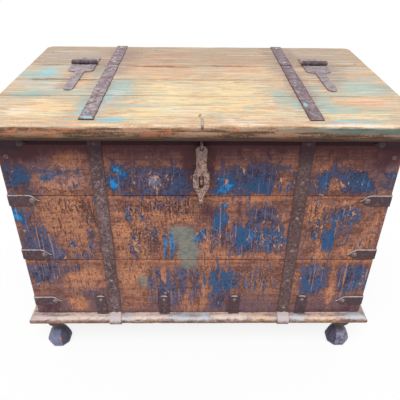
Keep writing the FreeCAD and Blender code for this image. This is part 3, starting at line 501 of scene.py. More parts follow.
def wallWood():
    k = Look("wallWood")
    p = k.place()
    z = k.parts(p)[2]
    blue, royal, pale, dark = k.masks("wear")
    bare, speck, mauve, drip = k.masks("tone")
    grain = k.noise(p, (4, 60, 95), 6, 0.62, 0.3) - 0.5
    fibre = k.noise(p, (18, 280, 420), 3, 0.6) - 0.5
    streak = k.noise(p, (130, 130, 16), 6, 0.66, 0.15) - 0.5
    blotch = k.noise(p, (48, 48, 40), 7, 0.68, 0.5) - 0.5
    mottle = k.noise(p, (105, 105, 130), 5, 0.66, 0.4) - 0.5
    cloud = k.noise(p, 13, 4, 0.55, 0.3) - 0.5
    fine = k.noise(p, 300, 3, 0.6) - 0.5
    loose = streak * 2.8 * drip + blotch * 2.8 * (1.25 - drip * 0.75) + mottle * 0.5
    tone = grain * 0.8 + blotch * 0.9 + mottle * 1.1 + cloud * 0.8 + fibre * 0.6
    # old dark finish, and bare orange wood where it has worn through
    color = k.coat((0.148, 0.067, 0.055), tone, -0.2, 0.2, 1, (0.340, 0.155, 0.106))
    color = k.coat(color, mauve + mottle * 2.0 + blotch * 1.2, 0.10, 0.70, 0.8, (0.155, 0.098, 0.120))
    wood = k.coat((0.305, 0.132, 0.089), tone + fine * 0.8, -0.22, 0.22, 1, (0.545, 0.236, 0.122))
    color = k.coat(color, bare + loose * 0.75 + fine * 0.8 - mauve * 0.15, 0.14, 0.42, 1, wood)
    upper, lower = [k.ramp(z, start, full) * k.ramp(z, gone, end)
                    for start, full, end, gone in planks["lips"]]
    lip = upper + lower
    # the lip under each joint: worn orange wood, and a painted highlight on the plank's top edge
    color = k.mix(lip * k.ramp(grain + blotch * 0.6, -0.14, 0.10, 0, 0.75), color, (0.500, 0.185, 0.084))
    # paint holds where its mask beats the ragged noise, with a stain along its edge
    cover = blue * 1.15 + loose + fine * 0.45 + fibre * 0.3
    paint = k.ramp(cover, 0.34, 0.42)
    color = k.coat(color, cover, 0.18, 0.34, 0.6, (0.092, 0.054, 0.056))
    shade = royal * 0.9 + cloud * 1.4 + blotch * 1.6 + streak * 0.9 + mottle * 0.5
    hue = k.coat((0.036, 0.036, 0.072), blotch + mottle * 0.6 + streak * 0.5, -0.16, 0.16, 1,
                 (0.125, 0.115, 0.185))
    hue = k.coat(hue, shade, 0.12, 0.54, 1, (0.032, 0.094, 0.208))
    hue = k.mix((1 - drip) * 0.50, hue, (0.036, 0.038, 0.074))
    hue = k.coat(hue, shade, 0.68, 1.05, 1, (0.018, 0.245, 0.590))
    scratch = k.ramp(k.noise(p, (300, 300, 9), 3, 0.55), 0.60, 0.66) * drip
    curl = k.math("ABSOLUTE", k.noise(p, (80, 80, 42), 5, 0.6, 0.4) - 0.5)
    lift = k.ramp(curl - speck * 0.020, 0.000, -0.008)
    flake = k.noise(p, (95, 95, 55), 4, 0.62, 0.5) + speck * 0.15 - 0.075
    hue = k.coat(hue, flake, 0.555, 0.585, 0.8, (0.050, 0.032, 0.040))
    peel = k.math("MAXIMUM", k.math("MAXIMUM", scratch * 0.6, lift * 0.9), k.ramp(flake, 0.590, 0.612))
    color = k.mix(paint, color, k.mix(peel, hue, (0.560, 0.262, 0.140)))
    # dark runs, then a dusty film that hides them
    run = k.ramp(k.noise(p, (190, 190, 15), 4, 0.6, 0.2) + speck * 0.07, 0.60, 0.66)
    run = run * k.ramp(speck, 0.15, 0.6) * drip
    color = k.mix(run * 0.85, color, (0.066, 0.036, 0.038))
    film = k.ramp(pale + fine * 0.5 + streak * 0.6 + mottle * 0.6, 0.16, 0.92, 0, 0.86)
    dust = k.coat((0.158, 0.178, 0.160), blotch + mottle, -0.14, 0.14, 1, (0.222, 0.240, 0.210))
    color = k.mix(film, color, k.coat(dust, drip, 0.9, 0.4, 1, (0.300, 0.310, 0.430)))
    pit = k.noise(p, (210, 210, 120), 4, 0.7, 0.2)
    pits = k.ramp(pit + speck * 0.085, 0.600, 0.655) * (1 - film * 0.75)
    chip = k.noise(p, (240, 240, 170), 3, 0.7, 0.2)
    chips = k.ramp(chip + speck * 0.04, 0.61, 0.67) * (1 - film * 0.6)
    color = k.mix(chips * 0.6, color, k.mix(paint, (0.700, 0.370, 0.220), (0.280, 0.270, 0.360)))
    color = k.mix(pits * 0.85, color, (0.050, 0.030, 0.032))
    # the dark mask: dark stains, and painted shade under the lid, along the rail and round the hasp
    color = k.coat(color, dark + blotch * 1.2 + streak * 0.6 + mottle * 0.5, 0.10, 0.90, 0.9,
                   (0.078, 0.032, 0.039))
    # painted shadow: a near-black line on the wall just under the lid's nose
    start, full, thin, gone = planks["lidShade"]
    lidShadow = k.ramp(z + blotch * 0.004, start, full, 0, 0.72) * k.ramp(z, gone, thin)
    color = k.mix(lidShadow, color, (0.020, 0.011, 0.014))
    height = (grain * 0.5 + fibre * 0.3 + mottle * 0.4 + paint * 0.35 - pits * 0.5) * (1 - film * 0.7)
    rough = k.ramp(paint + fine * 0.4, 0.0, 1.0, 0.78, 0.54)
    return k.finish(color, rough, k.bump(height, 0.0012, 0.55), 0.05)


def innerWood():
    k = Look("innerWood")
    p = k.place()
    grain = k.noise(p, (4, 60, 60), 6, 0.6, 0.3)
    fine = k.noise(p, (20, 300, 300), 3, 0.6)
    color = k.coat((0.17, 0.095, 0.055), grain + fine * 0.3, 0.45, 0.85, 1, (0.40, 0.25, 0.15))
    return k.finish(color, 0.8, k.bump(grain + fine * 0.5, 0.001, 0.5))


finishes.update({"wall_wood": wallWood(), "inner_wood": innerWood()})
print("wall and inner wood made")

for row in ("top", "middle", "bottom"):
    for wall, along, across in (("front_plank_", 0, 2), ("back_plank_", 0, 2),
                                ("left_end_plank_", 1, 2), ("right_end_plank_", 1, 2)):
        grid = plankGrid(wall + row, along, across, planks, 100 + 7 * len(wall) + len(row), wallWearAndShade)
        addSkin(wall + row, [grid], "chest", "wall_wood")
print("walls built")

# top boards

tops = {
    "radius": 0.0012,
    "spacing": 0.0030,
    "across": 0.0012,
    "chip": 0.0012,
    "sag": 0.0005,
    "backCorner": 0.022,
    "noseDepth": 0.013,
    "noseRadius": 0.0190,
    "rim": 0.0024,                   # points this close to the top are part of the upper face
    "noseStart": (-0.262, -0.275),   # y where the nose turns down
    "noseBlue": (0.05, 0.30),        # x where blue paint starts on it
    "rearStart": (0.10, 0.13),       # y where the darker rear board starts
}

# wear of the top, placed one by one: x, y, half width, half depth in mm, and amount in hundredths
topMarks = {
    "teal": [
        (-417, 21, 55, 36, 55), (-359, -78, 57, 45, 42), (-179, -257, 36, 17, 85), (-241, -188, 30, 66, 66),
        (-190, -43, 34, 50, 78), (-170, -107, 30, 24, 60), (-396, -126, 49, 15, 72), (-395, 44, 48, 42, 72),
        (-256, 56, 17, 64, 45), (-248, -49, 25, 31, 42), (-351, -110, 59, 19, 30), (-183, -156, 22, 35, 35),
        (-108, -103, 30, 27, 18), (-109, -180, 71, 10, 22), (-395, 117, 57, 30, 25),
        (181, -128, 24, 58, 66), (206, -170, 12, 39, 60), (385, -62, 73, 56, 76), (295, -211, 52, 32, 58),
        (308, -264, 85, 10, 75), (296, -146, 31, 33, 30), (343, 34, 19, 54, 35), (201, 205, 19, 60, 35),
        (104, -195, 13, 10, 55), (280, -48, 28, 33, 25), (100, 5, 27, 29, 22), (41, -153, 44, 15, 18),
        (377, -215, 35, 32, 25), (263, -165, 20, 40, 85), (260, -85, 18, 40, 62), (-270, -110, 30, 40, 40),
        (-207, -112, 10, 40, 75),
    ],
    "cyan": [
        (-180, -257, 30, 17, 110), (-379, 45, 31, 34, 75), (-250, 20, 12, 90, 70), (-232, -215, 30, 45, 95),
        (-205, -150, 14, 50, 60), (-183, -156, 22, 25, 35), (-423, -128, 22, 12, 45),
        (-190, -60, 26, 50, 40), (275, -265, 52, 9, 90), (206, -170, 10, 34, 60), (374, -287, 10, 16, 120),
        (350, -68, 40, 23, 35), (-180, -112, 24, 30, 35),
    ],
    "grey": [
        (-347, 207, 121, 81, 95), (-116, 262, 118, 32, 55), (-390, 40, 70, 90, 85), (-385, -69, 75, 54, 55),
        (106, 263, 104, 37, 50), (319, 223, 116, 83, 75), (400, 60, 60, 100, 65), (430, -64, 40, 58, 30),
    ],
    "halo": [
        (-303, 75, 40, 90, 75), (-315, -54, 27, 47, 65), (-236, 162, 54, 128, 66),
        (-226, -114, 44, 147, 38), (-364, -53, 60, 38, 8), (317, 99, 49, 107, 65), (309, -42, 32, 60, 60),
        (232, 173, 47, 131, 72), (233, -107, 50, 150, 40), (442, -65, 28, 47, 35), (400, 60, 60, 110, 26),
        (230, -60, 28, 165, 55), (318, 60, 46, 62, 45), (-238, 20, 26, 150, 20), (-195, 70, 28, 50, 55),
        (-190, 215, 40, 60, 40), (195, 75, 26, 45, 45), (198, 225, 20, 60, 40), (254, 226, 18, 60, 35),
    ],
    "pink": [
        (-101, 102, 101, 111, 80), (-106, 222, 107, 35, 40), (-378, -164, 53, 29, 45),
        (-326, -223, 50, 31, 25), (-175, -213, 34, 23, 30), (-302, -275, 90, 13, 60),
        (-165, -283, 19, 10, 70), (93, 106, 93, 112, 65), (361, -146, 59, 33, 55), (390, 16, 49, 30, 50),
        (392, -192, 29, 28, 50), (330, -170, 60, 40, 35), (136, -225, 38, 29, 45), (259, -283, 127, 10, 55),
        (63, -287, 29, 12, 50), (268, 111, 18, 68, 30),
    ],
    "gold": [
        (-76, -133, 73, 118, 85), (-317, -196, 57, 58, 75), (-132, -233, 60, 43, 50),
        (-381, -220, 30, 27, 50), (322, -228, 67, 26, 60), (330, -148, 33, 36, 35), (74, -137, 77, 113, 85),
        (182, -217, 42, 31, 50), (301, -238, 68, 17, 45), (366, -101, 33, 22, 20), (90, 9, 66, 46, 30),
    ],
    "line": [
        (-4, -238, 4, 13, 100), (-101, 94, 101, 10, 100), (-388, 105, 52, 12, 60), (-377, -16, 60, 10, 80),
        (-276, -18, 40, 9, 60), (-242, 99, 39, 9, 50), (-401, -123, 46, 4, 30), (102, 102, 102, 10, 100),
        (394, 112, 54, 9, 80), (268, 108, 18, 8, 50), (111, -32, 113, 7, 35), (267, -89, 23, 8, 30),
    ],
    # cream paint, and along the lid's front edge a painted highlight
    "cream": [
        (-383, -216, 30, 22, 80), (-357, -183, 23, 28, 40), (-75, -286, 71, 9, 60),
        (-228, -242, 10, 15, 50), (-322, 217, 66, 35, 35), (333, -245, 51, 11, 45), (368, -146, 41, 23, 30),
        (95, -278, 57, 12, 55), (298, -281, 75, 9, 70), (152, -164, 11, 22, 50), (55, -256, 10, 10, 60),
        (-178, -112, 26, 24, 40),
    ],
}


def topWearAndHighlight(points, outward):
    # placed marks, on the upper faces only
    x = points[..., 0] * 1000 + 1.5 * wander(points, 44)
    y = points[..., 1] * 1000 + 0.6 * wander(points, 46)
    placed = np.stack([softBoxes(x, y, boxes) for boxes in topMarks.values()], -1)
    return placed * np.clip((outward[..., 2:] - 0.6) / 0.3, 0, 1)


def loopNormals(loop):
    # outward directions of a clockwise or anticlockwise outline of (a, b) points
    run = np.roll(loop, -1, 0) - np.roll(loop, 1, 0)
    turn = np.stack([run[:, 1], -run[:, 0]], -1)
    turn /= np.linalg.norm(turn, axis=1, keepdims=True) + 1e-12
    area = (loop[:, 0] * np.roll(loop[:, 1], -1) - np.roll(loop[:, 0], -1) * loop[:, 1]).sum()
    return turn * np.sign(area)


def noseLoop(low, high, settings):
    # flat top and bottom, square back, and in front an arc that stands out by the nose depth
    flat = low[1] + settings["noseDepth"]
    r, top, bottom = settings["noseRadius"], high[2], low[2]
    half = (top - bottom) / 2
    reach = math.asin(half / r)
    t = np.linspace(reach, -reach, 34)[1:-1]
    e = settings["radius"]
    y = np.linspace(high[1] - e, flat, 40)
    arcY = low[1] + r - r * np.cos(t)
    arcZ = (top + bottom) / 2 + r * np.sin(t)
    z = np.linspace(bottom + e, top - e, 7)
    return np.r_[np.c_[y, np.full_like(y, top)], np.c_[arcY, arcZ],
                 np.c_[y[::-1], np.full_like(y, bottom)], np.c_[np.full_like(z, high[1]), z]]


def noseBoard(node, settings, seed):
    # the nose loop carried along x and drawn in at both ends, bitten where it faces forward
    low, high = corners(node)
    loop = noseLoop(low, high, settings)
    normal2 = loopNormals(loop)
    s, inset = endRound(high[0] - low[0], settings["radius"] * 2, 5, settings["spacing"])
    points = np.zeros((len(s), len(loop), 3))
    points[..., 0] = (low[0] + s)[:, None]
    points[..., 1:] = loop[None] - normal2[None] * inset[:, None, None]
    normal = np.zeros_like(points)
    normal[..., 1:] = normal2
    edge = np.clip(-normal2[:, 0], 0, 1)[None]
    bite = np.clip(ripple(points, 0.05, seed) - 0.2, 0, 1)
    dent = settings["chip"] * edge * bite + settings["sag"] * uneven(points, 0.12, seed + 1)
    points = points - normal * dent[..., None]
    return points, topWearAndHighlight(points, normal)


def topBoard(node, settings, seed, backCorner=0.0):
    # a flat board; its back corners are round in plan where asked
    points, _ = plankGrid(node, 0, 1, settings, seed)
    low, high = corners(node)
    if backCorner:
        near = np.clip(np.minimum(points[..., 0] - low[0], high[0] - points[..., 0]), 0, backCorner)
        cut = backCorner - np.sqrt(backCorner ** 2 - (backCorner - near) ** 2)
        share = (points[..., 1] - low[1]) / (high[1] - low[1])
        points[..., 1] -= cut * share
    upward = np.zeros_like(points)
    upward[..., 2] = points[..., 2] > high[2] - settings["rim"]
    return points, topWearAndHighlight(points, upward)


def topWood():
    k = Look("topWood")
    p = k.place()
    x, y, _ = k.parts(p)
    up = k.facing()[2]
    teal, cyan, grey, halo = k.masks("wear")
    pink, gold, seam, cream = k.masks("tone")
    grain = k.noise(p, (9, 125, 125), 6, 0.70, 0.1) - 0.5
    line = k.noise(p, (13, 190, 190), 5, 0.72, 0.1) - 0.5
    patch = k.noise(p, (14, 44, 44), 6, 0.66, 0.5) - 0.5
    blotch = k.noise(p, (48, 110, 110), 6, 0.7, 0.5) - 0.5
    band = k.noise(p, (9, 150, 150), 2, 0.5) - 0.5
    fine = k.noise(p, 330, 3, 0.6) - 0.5
    streak = grain * 2.0 + line * 1.4 + band * 0.8
    lit = k.ramp(streak, -0.3, 0.3)
    tone = streak + patch * 1.4 + fine * 0.9
    color = k.coat((0.66, 0.430, 0.265), tone, -0.25, 0.25, 1, (0.92, 0.71, 0.47))
    rosy = k.mix(lit, (0.78, 0.40, 0.24), (0.96, 0.60, 0.40))
    color = k.coat(color, pink + patch * 2.4 + streak, 0.2, 0.8, 0.9, rosy)
    golden = k.mix(lit, (1.0, 0.70, 0.37), (1.0, 0.86, 0.52))
    color = k.coat(color, gold + patch * 2.0 + streak, 0.15, 0.75, 0.94, golden)
    color = k.coat(color, grey + blotch * 1.4 + streak, 0.2, 1.0, 0.8, (0.66, 0.630, 0.575))
    color = k.coat(color, line * 2 + patch * 1.2, 0.12, 0.28, 0.7, (0.82, 0.40, 0.20))
    color = k.coat(color, grain * 2 + line * 1.2 + blotch, 0.20, 0.42, 0.8, (1.0, 0.88, 0.68))
    color = k.coat(color, line * 1.8 - grain * 1.0 + patch * 0.6, -0.22, -0.36, 0.42, (0.42, 0.235, 0.145))
    cover = teal + streak * 2.2 + band * 2.0 + blotch * 0.8
    hue = k.coat((0.33, 0.58, 0.56), cyan + blotch * 1.5, 0.25, 0.8, 1, (0.22, 0.73, 0.90))
    color = k.coat(color, teal + patch * 0.8 + streak * 0.25, 0.10, 1.0, 0.50, hue)
    color = k.coat(color, cover, 0.28, 0.64, 0.72, hue)
    # cream paint; along the front edge it is also a painted highlight
    color = k.coat(color, cream + streak * 1.5 + blotch * 1.5, 0.30, 0.85, 0.85, (1.0, 0.86, 0.72))
    color = k.coat(color, halo + blotch * 1.8 + streak * 0.8, 0.10, 0.95, 0.7, (0.345, 0.265, 0.265))
    color = k.coat(color, seam + streak * 0.8, 0.3, 0.9, 0.75, (0.18, 0.090, 0.060))
    color = k.coat(color, y, *tops["rearStart"], 0.43, (0.29, 0.21, 0.180))
    color = k.coat(color, band + line * 0.4, 0.08, 0.15, 0.30, (0.66, 0.40, 0.23))
    color = k.coat(color, band + line * 0.4, -0.07, -0.16, 0.45, (1.0, 0.87, 0.66))
    color = k.mix(k.ramp(y, -0.10, 0.10, 0.045, 0.12), color, (0.40, 0.265, 0.165))
    fleck = fine + blotch * 0.4 + line * 0.4
    color = k.coat(color, fleck, 0.11, 0.20, 0.45, (1.0, 0.91, 0.80))
    color = k.coat(color, fleck, -0.11, -0.20, 0.32, (0.46, 0.27, 0.17))
    # the nose, the ends and the underside are bare, bluish to the right; they get darker as they turn
    # downward, which is painted shade, and the flat underside is plain wood
    bare = k.coat((0.098, 0.057, 0.037), streak + fine * 0.8, -0.22, 0.24, 1, (0.365, 0.220, 0.142))
    bare = k.coat(bare, patch * 1.6 + line + fine * 0.6, 0.02, 0.22, 0.75, (0.420, 0.165, 0.080))
    nose = k.ramp(y, *tops["noseStart"]) * k.ramp(x, *tops["noseBlue"])
    nose = nose * k.ramp(up + grain * 0.6, -0.05, 0.40)
    trace = k.ramp(nose * 0.40 + grain * 2.2 + line * 1.6, 0.12, 0.34, 0, 0.8)
    bare = k.mix(trace * nose, bare, (0.080, 0.145, 0.135))
    # painted shade: darker as the surface faces down
    bare = k.coat(bare, up + grain * 0.4, 0.35, -0.60, 0.85, (0.046, 0.029, 0.026))
    plain = k.coat((0.125, 0.066, 0.042), streak + patch + fine * 0.5, -0.4, 0.4, 1, (0.300, 0.175, 0.110))
    bare = k.coat(bare, up, -0.85, -0.98, 1, plain)
    turned = k.ramp(up + grain * 0.3 + blotch * 0.2, 0.90, 0.62)
    color = k.mix(turned, color, bare)
    crack = k.ramp(k.noise(p, (3, 190, 190), 2, 0.5), 0.33, 0.27)
    color = k.mix(crack * 0.5, color, (0.20, 0.12, 0.09))
    height = grain * 0.6 + line * 0.4 - crack * 0.6
    return k.finish(color, k.ramp(fine, -0.2, 0.2, 0.54, 0.72), k.bump(height, 0.0010, 0.5), 0.09)


finishes["top_wood"] = topWood()
addSkin("lid_board_front", [noseBoard("lid_board_front", tops, 301)], "lid", "top_wood")
for node, body, corner in (("lid_board_middle", "lid", 0), ("lid_board_rear", "lid", 0),
                           ("rear_top_board", "chest", tops["backCorner"])):
    addSkin(node, [topBoard(node, tops, 310 + len(node), corner)], body, "top_wood")
print("top built")

# base frame and feet

rails = {"spacing": 0.004, "chip": 0.0012, "sag": 0.0005, "radius": 0.0012}

# wear of the front rail, placed one by one: x, z, half width, half height in mm, and amount in hundredths
railMarks = {
    "cream": [
        (-317, 116, 70, 5, 70), (-155, 116, 24, 5, 80), (-108, 116, 23, 5, 50), (54, 116, 23, 6, 80),
        (104, 115, 27, 6, 70), (335, 114, 40, 4, 30),
    ],
    "gold": [
        (-130, 104, 24, 8, 80), (54, 113, 20, 5, 40), (168, 110, 38, 9, 90), (335, 108, 54, 10, 100),
        (421, 100, 33, 8, 80), (-20, 100, 30, 5, 20),
    ],
    "sky": [
        (-192, 110, 14, 10, 80), (-172, 103, 20, 8, 60), (-40, 113, 45, 8, 90), (17, 112, 14, 10, 90),
        (54, 102, 23, 8, 70), (104, 102, 27, 8, 60), (263, 110, 18, 12, 90), (421, 115, 33, 6, 90),
    ],
    "rust": [
        (-312, 103, 28, 8, 80), (-420, 99, 34, 6, 70), (-40, 99, 45, 6, 45), (190, 100, 24, 7, 55),
        (-230, 99, 30, 6, 40), (330, 97, 60, 4, 50),
    ],
    "pink": [(-420, 112, 34, 9, 80), (-108, 110, 23, 9, 60), (335, 117, 54, 4, 50), (104, 117, 27, 4, 40)],
}


def railWear(points, along):
    # loose wear of each kind; the front rail has its own marks
    wear = np.zeros(points.shape[:2] + (8,))
    front = along == 0 and points[0, 0, 1] < 0
    across, height = points[..., 0] * 1000 + wander(points, 426), points[..., 2] * 1000
    for i, boxes in enumerate(railMarks.values()):
        loose = 0.35 + 0.45 * ripple(points, 0.12, 420 + i)
        wear[..., i] = softBoxes(across, height, boxes) if front else loose
    return wear


def railGrid(node, along, seed, settings):
    # half-round outer edge; every point's run along the rail shortens by its depth,
    # which mitres the ends
    low, high = corners(node)
    across = 1 - along
    out = np.sign(low[across] + high[across])
    outer, inner = (high, low) if out > 0 else (low, high)
    width = abs(outer[across] - inner[across])
    r, e = (high[2] - low[2]) / 2, settings["radius"]
    flat = np.linspace(width - e, r, 22)
    t = np.linspace(np.pi / 2, -np.pi / 2, 26)[1:-1]
    z = np.linspace(-r + e, r - e, 7)
    loop = np.r_[np.c_[flat, np.full_like(flat, r)], np.c_[r - r * np.cos(t), r * np.sin(t)],
                 np.c_[flat[::-1], np.full_like(flat, -r)], np.c_[np.full_like(z, width), z]]
    half = (high[along] - low[along]) / 2
    share = np.linspace(-1, 1, int(2 * half / settings["spacing"]))
    points = np.zeros((len(share), len(loop), 3))
    points[..., along] = (low[along] + high[along]) / 2 + share[:, None] * (half - loop[None, :, 0])
    points[..., across] = outer[across] - out * loop[None, :, 0]
    points[..., 2] = (low[2] + high[2]) / 2 + loop[None, :, 1]
    flatNormal = loopNormals(loop)
    normal = np.zeros_like(points)
    normal[..., across] = -out * flatNormal[:, 0]
    normal[..., 2] = flatNormal[:, 1]
    bite = np.clip(ripple(points, 0.06, seed) + 0.5 * ripple(points, 0.02, seed + 1) - 0.45, 0, 1)
    dent = settings["chip"] * bite + settings["sag"] * uneven(points, 0.13, seed + 2)
    points = points - normal * dent[..., None]
    return points, railWear(points, along)


feet = {
    # radius and height up the foot, as it is turned
    "profile": [(0.0250, 0), (0.0302, 0.0050), (0.0330, 0.0140), (0.0325, 0.0210), (0.0285, 0.0330),
                (0.0212, 0.0455), (0.0150, 0.0545), (0.0125, 0.0600), (0.0138, 0.0660), (0.0185, 0.0740),
                (0.0238, 0.0805), (0.0260, 0.0840), (0.0260, 0.0905)],
    "facets": 8,
    "facetDepth": 0.85,              # 1 is flat facets, 0 is round
    "bunTop": 0.052,                 # facets fade out below this height
    "bunFade": 0.012,
    "around": 96,
    "dent": 0.0010,
    "pock": 0.0004,
    "ground": (0.010, 0.002),        # heights where the sole is scuffed and the neck is dark
    "neck": (0.046, 0.060),
}


def footGrid(node, settings, seed):
    # turned profile; on the bun the radius is that of a polygon with rounded corners
    low, high = corners(node)
    cx, cy = (low[:2] + high[:2]) / 2
    pts = np.array(settings["profile"])
    run = np.r_[0, np.cumsum(np.hypot(*np.diff(pts, axis=0).T))]
    at = np.linspace(0, run[-1], 90)
    radius, level = np.interp(at, run, pts[:, 0]), np.interp(at, run, pts[:, 1])
    kernel = np.array([1, 2, 3, 2, 1]) / 9
    radius[2:-2] = np.convolve(radius, kernel, "valid")
    turn = np.linspace(0, 2 * np.pi, settings["around"], endpoint=False)
    wedge = 2 * np.pi / settings["facets"]
    off = (turn + 0.5 * wedge) % wedge - wedge / 2
    flat = np.cos(wedge / 2) / np.cos(off)
    bun = np.clip((settings["bunTop"] - level) / settings["bunFade"], 0, 1) * settings["facetDepth"]
    r = radius[:, None] * (1 - bun[:, None] * (1 - flat[None]))
    height = np.broadcast_to(level[:, None], r.shape)
    points = np.stack([cx + r * np.cos(turn), cy + r * np.sin(turn), height], -1)
    dent = settings["dent"] * np.clip(ripple(points, 0.03, seed), 0, 1)
    dent = dent + settings["pock"] * np.clip(ripple(points, 0.009, seed + 1), 0, 1)
    away = points - np.array([cx, cy, 0]) - points * [0, 0, 1]
    away /= np.linalg.norm(away, axis=-1, keepdims=True)
    return points - away * dent[..., None], None


def baseWood():
    k = Look("baseWood")
    p = k.place()
    up = k.facing()[2]
    cream, gold, sky, rust = k.masks("wear")
    pink = k.masks("tone")[0]
    grain = k.noise(p, (12, 110, 110), 6, 0.66, 0.2) - 0.5
    blotch = k.noise(p, (60, 130, 130), 6, 0.7, 0.4) - 0.5
    fine = k.noise(p, 340, 3, 0.6) - 0.5
    broken = blotch * 2.2 + grain * 2.0
    color = k.coat((0.27, 0.180, 0.170), grain * 1.5 + blotch, -0.2, 0.2, 1, (0.50, 0.395, 0.380))
    for kind, tint in ((pink, (0.60, 0.46, 0.45)), (gold, (0.74, 0.45, 0.24)), (sky, (0.43, 0.52, 0.60)),
                       (cream, (0.78, 0.63, 0.52)), (rust, (0.31, 0.155, 0.10))):
        color = k.coat(color, kind + broken, 0.10, 0.95, 0.75, tint)
    # the round of the moulding gets a painted highlight; facing down it turns to bare brown wood, which
    # also paints shade on its lower half
    roundHighlight = k.ramp(up + blotch * 0.8, 0.40, 0.65) * k.ramp(up + blotch * 0.4, 0.98, 0.84)
    color = k.mix(roundHighlight * 0.25, color, (0.90, 0.79, 0.74))
    bare = k.coat((0.085, 0.052, 0.046), blotch + fine * 0.6, -0.12, 0.12, 1, (0.320, 0.165, 0.098))
    # bare brown underside and painted shade, darker as the surface faces down
    color = k.coat(color, up + blotch * 0.9, 0.68, 0.00, 0.88, bare)
    pits = k.ramp(k.noise(p, 150, 3, 0.7), 0.38, 0.31)
    color = k.mix(pits * 0.55, color, (0.15, 0.095, 0.085))
    height = grain + blotch * 0.6 - pits * 0.5
    return k.finish(color, k.ramp(fine, -0.2, 0.2, 0.45, 0.62), k.bump(height, 0.0010, 0.5), 0.12)


def footWood():
    k = Look("footWood")
    p = k.place()
    x, _, z = k.parts(p)
    blotch = k.noise(p, 70, 6, 0.68, 0.4) - 0.5
    fine = k.noise(p, 280, 3, 0.6) - 0.5
    rub = k.noise(p, 30, 4, 0.6) - 0.5
    color = k.coat((0.070, 0.064, 0.105), blotch + fine * 0.5, -0.12, 0.14, 1, (0.245, 0.230, 0.330))
    color = k.coat(color, x, 0.1, -0.1, 0.55, (0.150, 0.175, 0.285))
    color = k.coat(color, rub * 1.6 + fine * 0.6, 0.12, 0.20, 0.85, (0.44, 0.16, 0.09))
    # painted shade on the facets that face in under the chest
    innerShade = k.facing()[0] * k.math("SIGN", x) * -1
    color = k.coat(color, innerShade + blotch * 0.3, 0.35, 0.70, 0.85, (0.026, 0.020, 0.048))
    color = k.coat(color, z + blotch * 0.03, *feet["ground"], 0.5, (0.42, 0.36, 0.40))
    color = k.coat(color, z + blotch * 0.03, *feet["neck"], 1, (0.055, 0.038, 0.040))
    return k.finish(color, 0.5, k.bump(blotch + fine * 0.4, 0.001, 0.5), 0.35)


finishes.update({"base_wood": baseWood(), "foot_wood": footWood()})
for side, along in (("front", 0), ("back", 0), ("left", 1), ("right", 1)):
    node = "base_rail_" + side
    addSkin(node, [railGrid(node, along, 400 + len(node), rails)], "chest", "base_wood")
for corner in ("front_left", "front_right", "back_left", "back_right"):
    node = "foot_" + corner
    addSkin(node, [footGrid(node, feet, 430 + len(node))], "chest", "foot_wood")
for node in ("floor_board_1", "floor_board_2", "floor_board_3"):
    addSkin(node, [plankGrid(node, 0, 1, dict(planks, spacing=0.012), 460)], "chest", "inner_wood")
for node in ("lid_batten_left", "lid_batten_right"):
    addSkin(node, [plankGrid(node, 1, 0, dict(planks, spacing=0.008), 470)], "lid", "inner_wood")
print("base built")

# ironwork

iron = {
    "thick": 0.0025,
    "radius": 0.0008,
    "spacing": 0.003,
    "hammer": 0.0004,
    "edge": 0.0011,                  # how far a strap's edge wanders in
    "bend": 0.003,
    "gap": 0.0001,                   # between a front strap and the ledge under it
    "tuck": 0.014,                   # how far a front strap runs on under the rail
    "lidLevel": (0.670, 0.680),      # above these heights iron lies on the lid
    "lidShade": (0.555, 0.612),      # iron on the wall darkens toward the lid
    "brightBelow": (0.630, 0.605),   # upper rims get a painted highlight below this height; above it the lid's shadow takes it away
    "rightHalf": (-0.05, 0.05),      # iron on the right is darker
    "haspShade": (0.585, 0.606),     # the hasp darkens toward its eye
    "eyeTop": (0.684, 0.688),        # the ends of the eye on the lid are bright
    "nailShade": (0.575, 0.615, 0.650, 0.660),     # painted shadow under the lid on nails starts, is full, thins and ends
    "rearNails": (0.110, 0.112, 0.684, 0.685),     # y and z where nails are pale like the rear board
    "spots": [(-229, -252, 11, 9, 100), (222, -178, 7, 12, 75)],   # old paint on the lid straps, mm
}


def bentPath(points, radii, spacing):
    # straight runs joined by tangent arcs of the given radii, then evenly spaced along the length
    points = np.array(points, float)
    run = [points[0]]
    for before, corner, after, r in zip(points, points[1:], points[2:], radii):
        a = (before - corner) / np.linalg.norm(before - corner)
        b = (after - corner) / np.linalg.norm(after - corner)
        half = np.arccos(np.clip(a @ b, -1, 1)) / 2
        middle = corner + (a + b) / np.linalg.norm(a + b) * r / math.sin(half)
        first = corner + a * r / math.tan(half) - middle
        last = corner + b * r / math.tan(half) - middle
        turn = np.pi - 2 * half
        t = np.linspace(0, 1, max(int(turn * r / spacing * 4), 8))[:, None]
        run += list(middle + (np.sin((1 - t) * turn) * first + np.sin(t * turn) * last) / math.sin(turn))
    run = np.array(run + [points[-1]])
    far = np.r_[0, np.cumsum(np.linalg.norm(np.diff(run, axis=0), axis=1))]
    at = np.linspace(0, far[-1], int(far[-1] / spacing) + 2)
    return np.stack([np.interp(at, far, run[:, c]) for c in range(3)], -1), at


def tangents(path):
    # unit direction at each point: the slope between its neighbours
    run = np.gradient(path, axis=0)
    return run / np.linalg.norm(run, axis=1, keepdims=True)


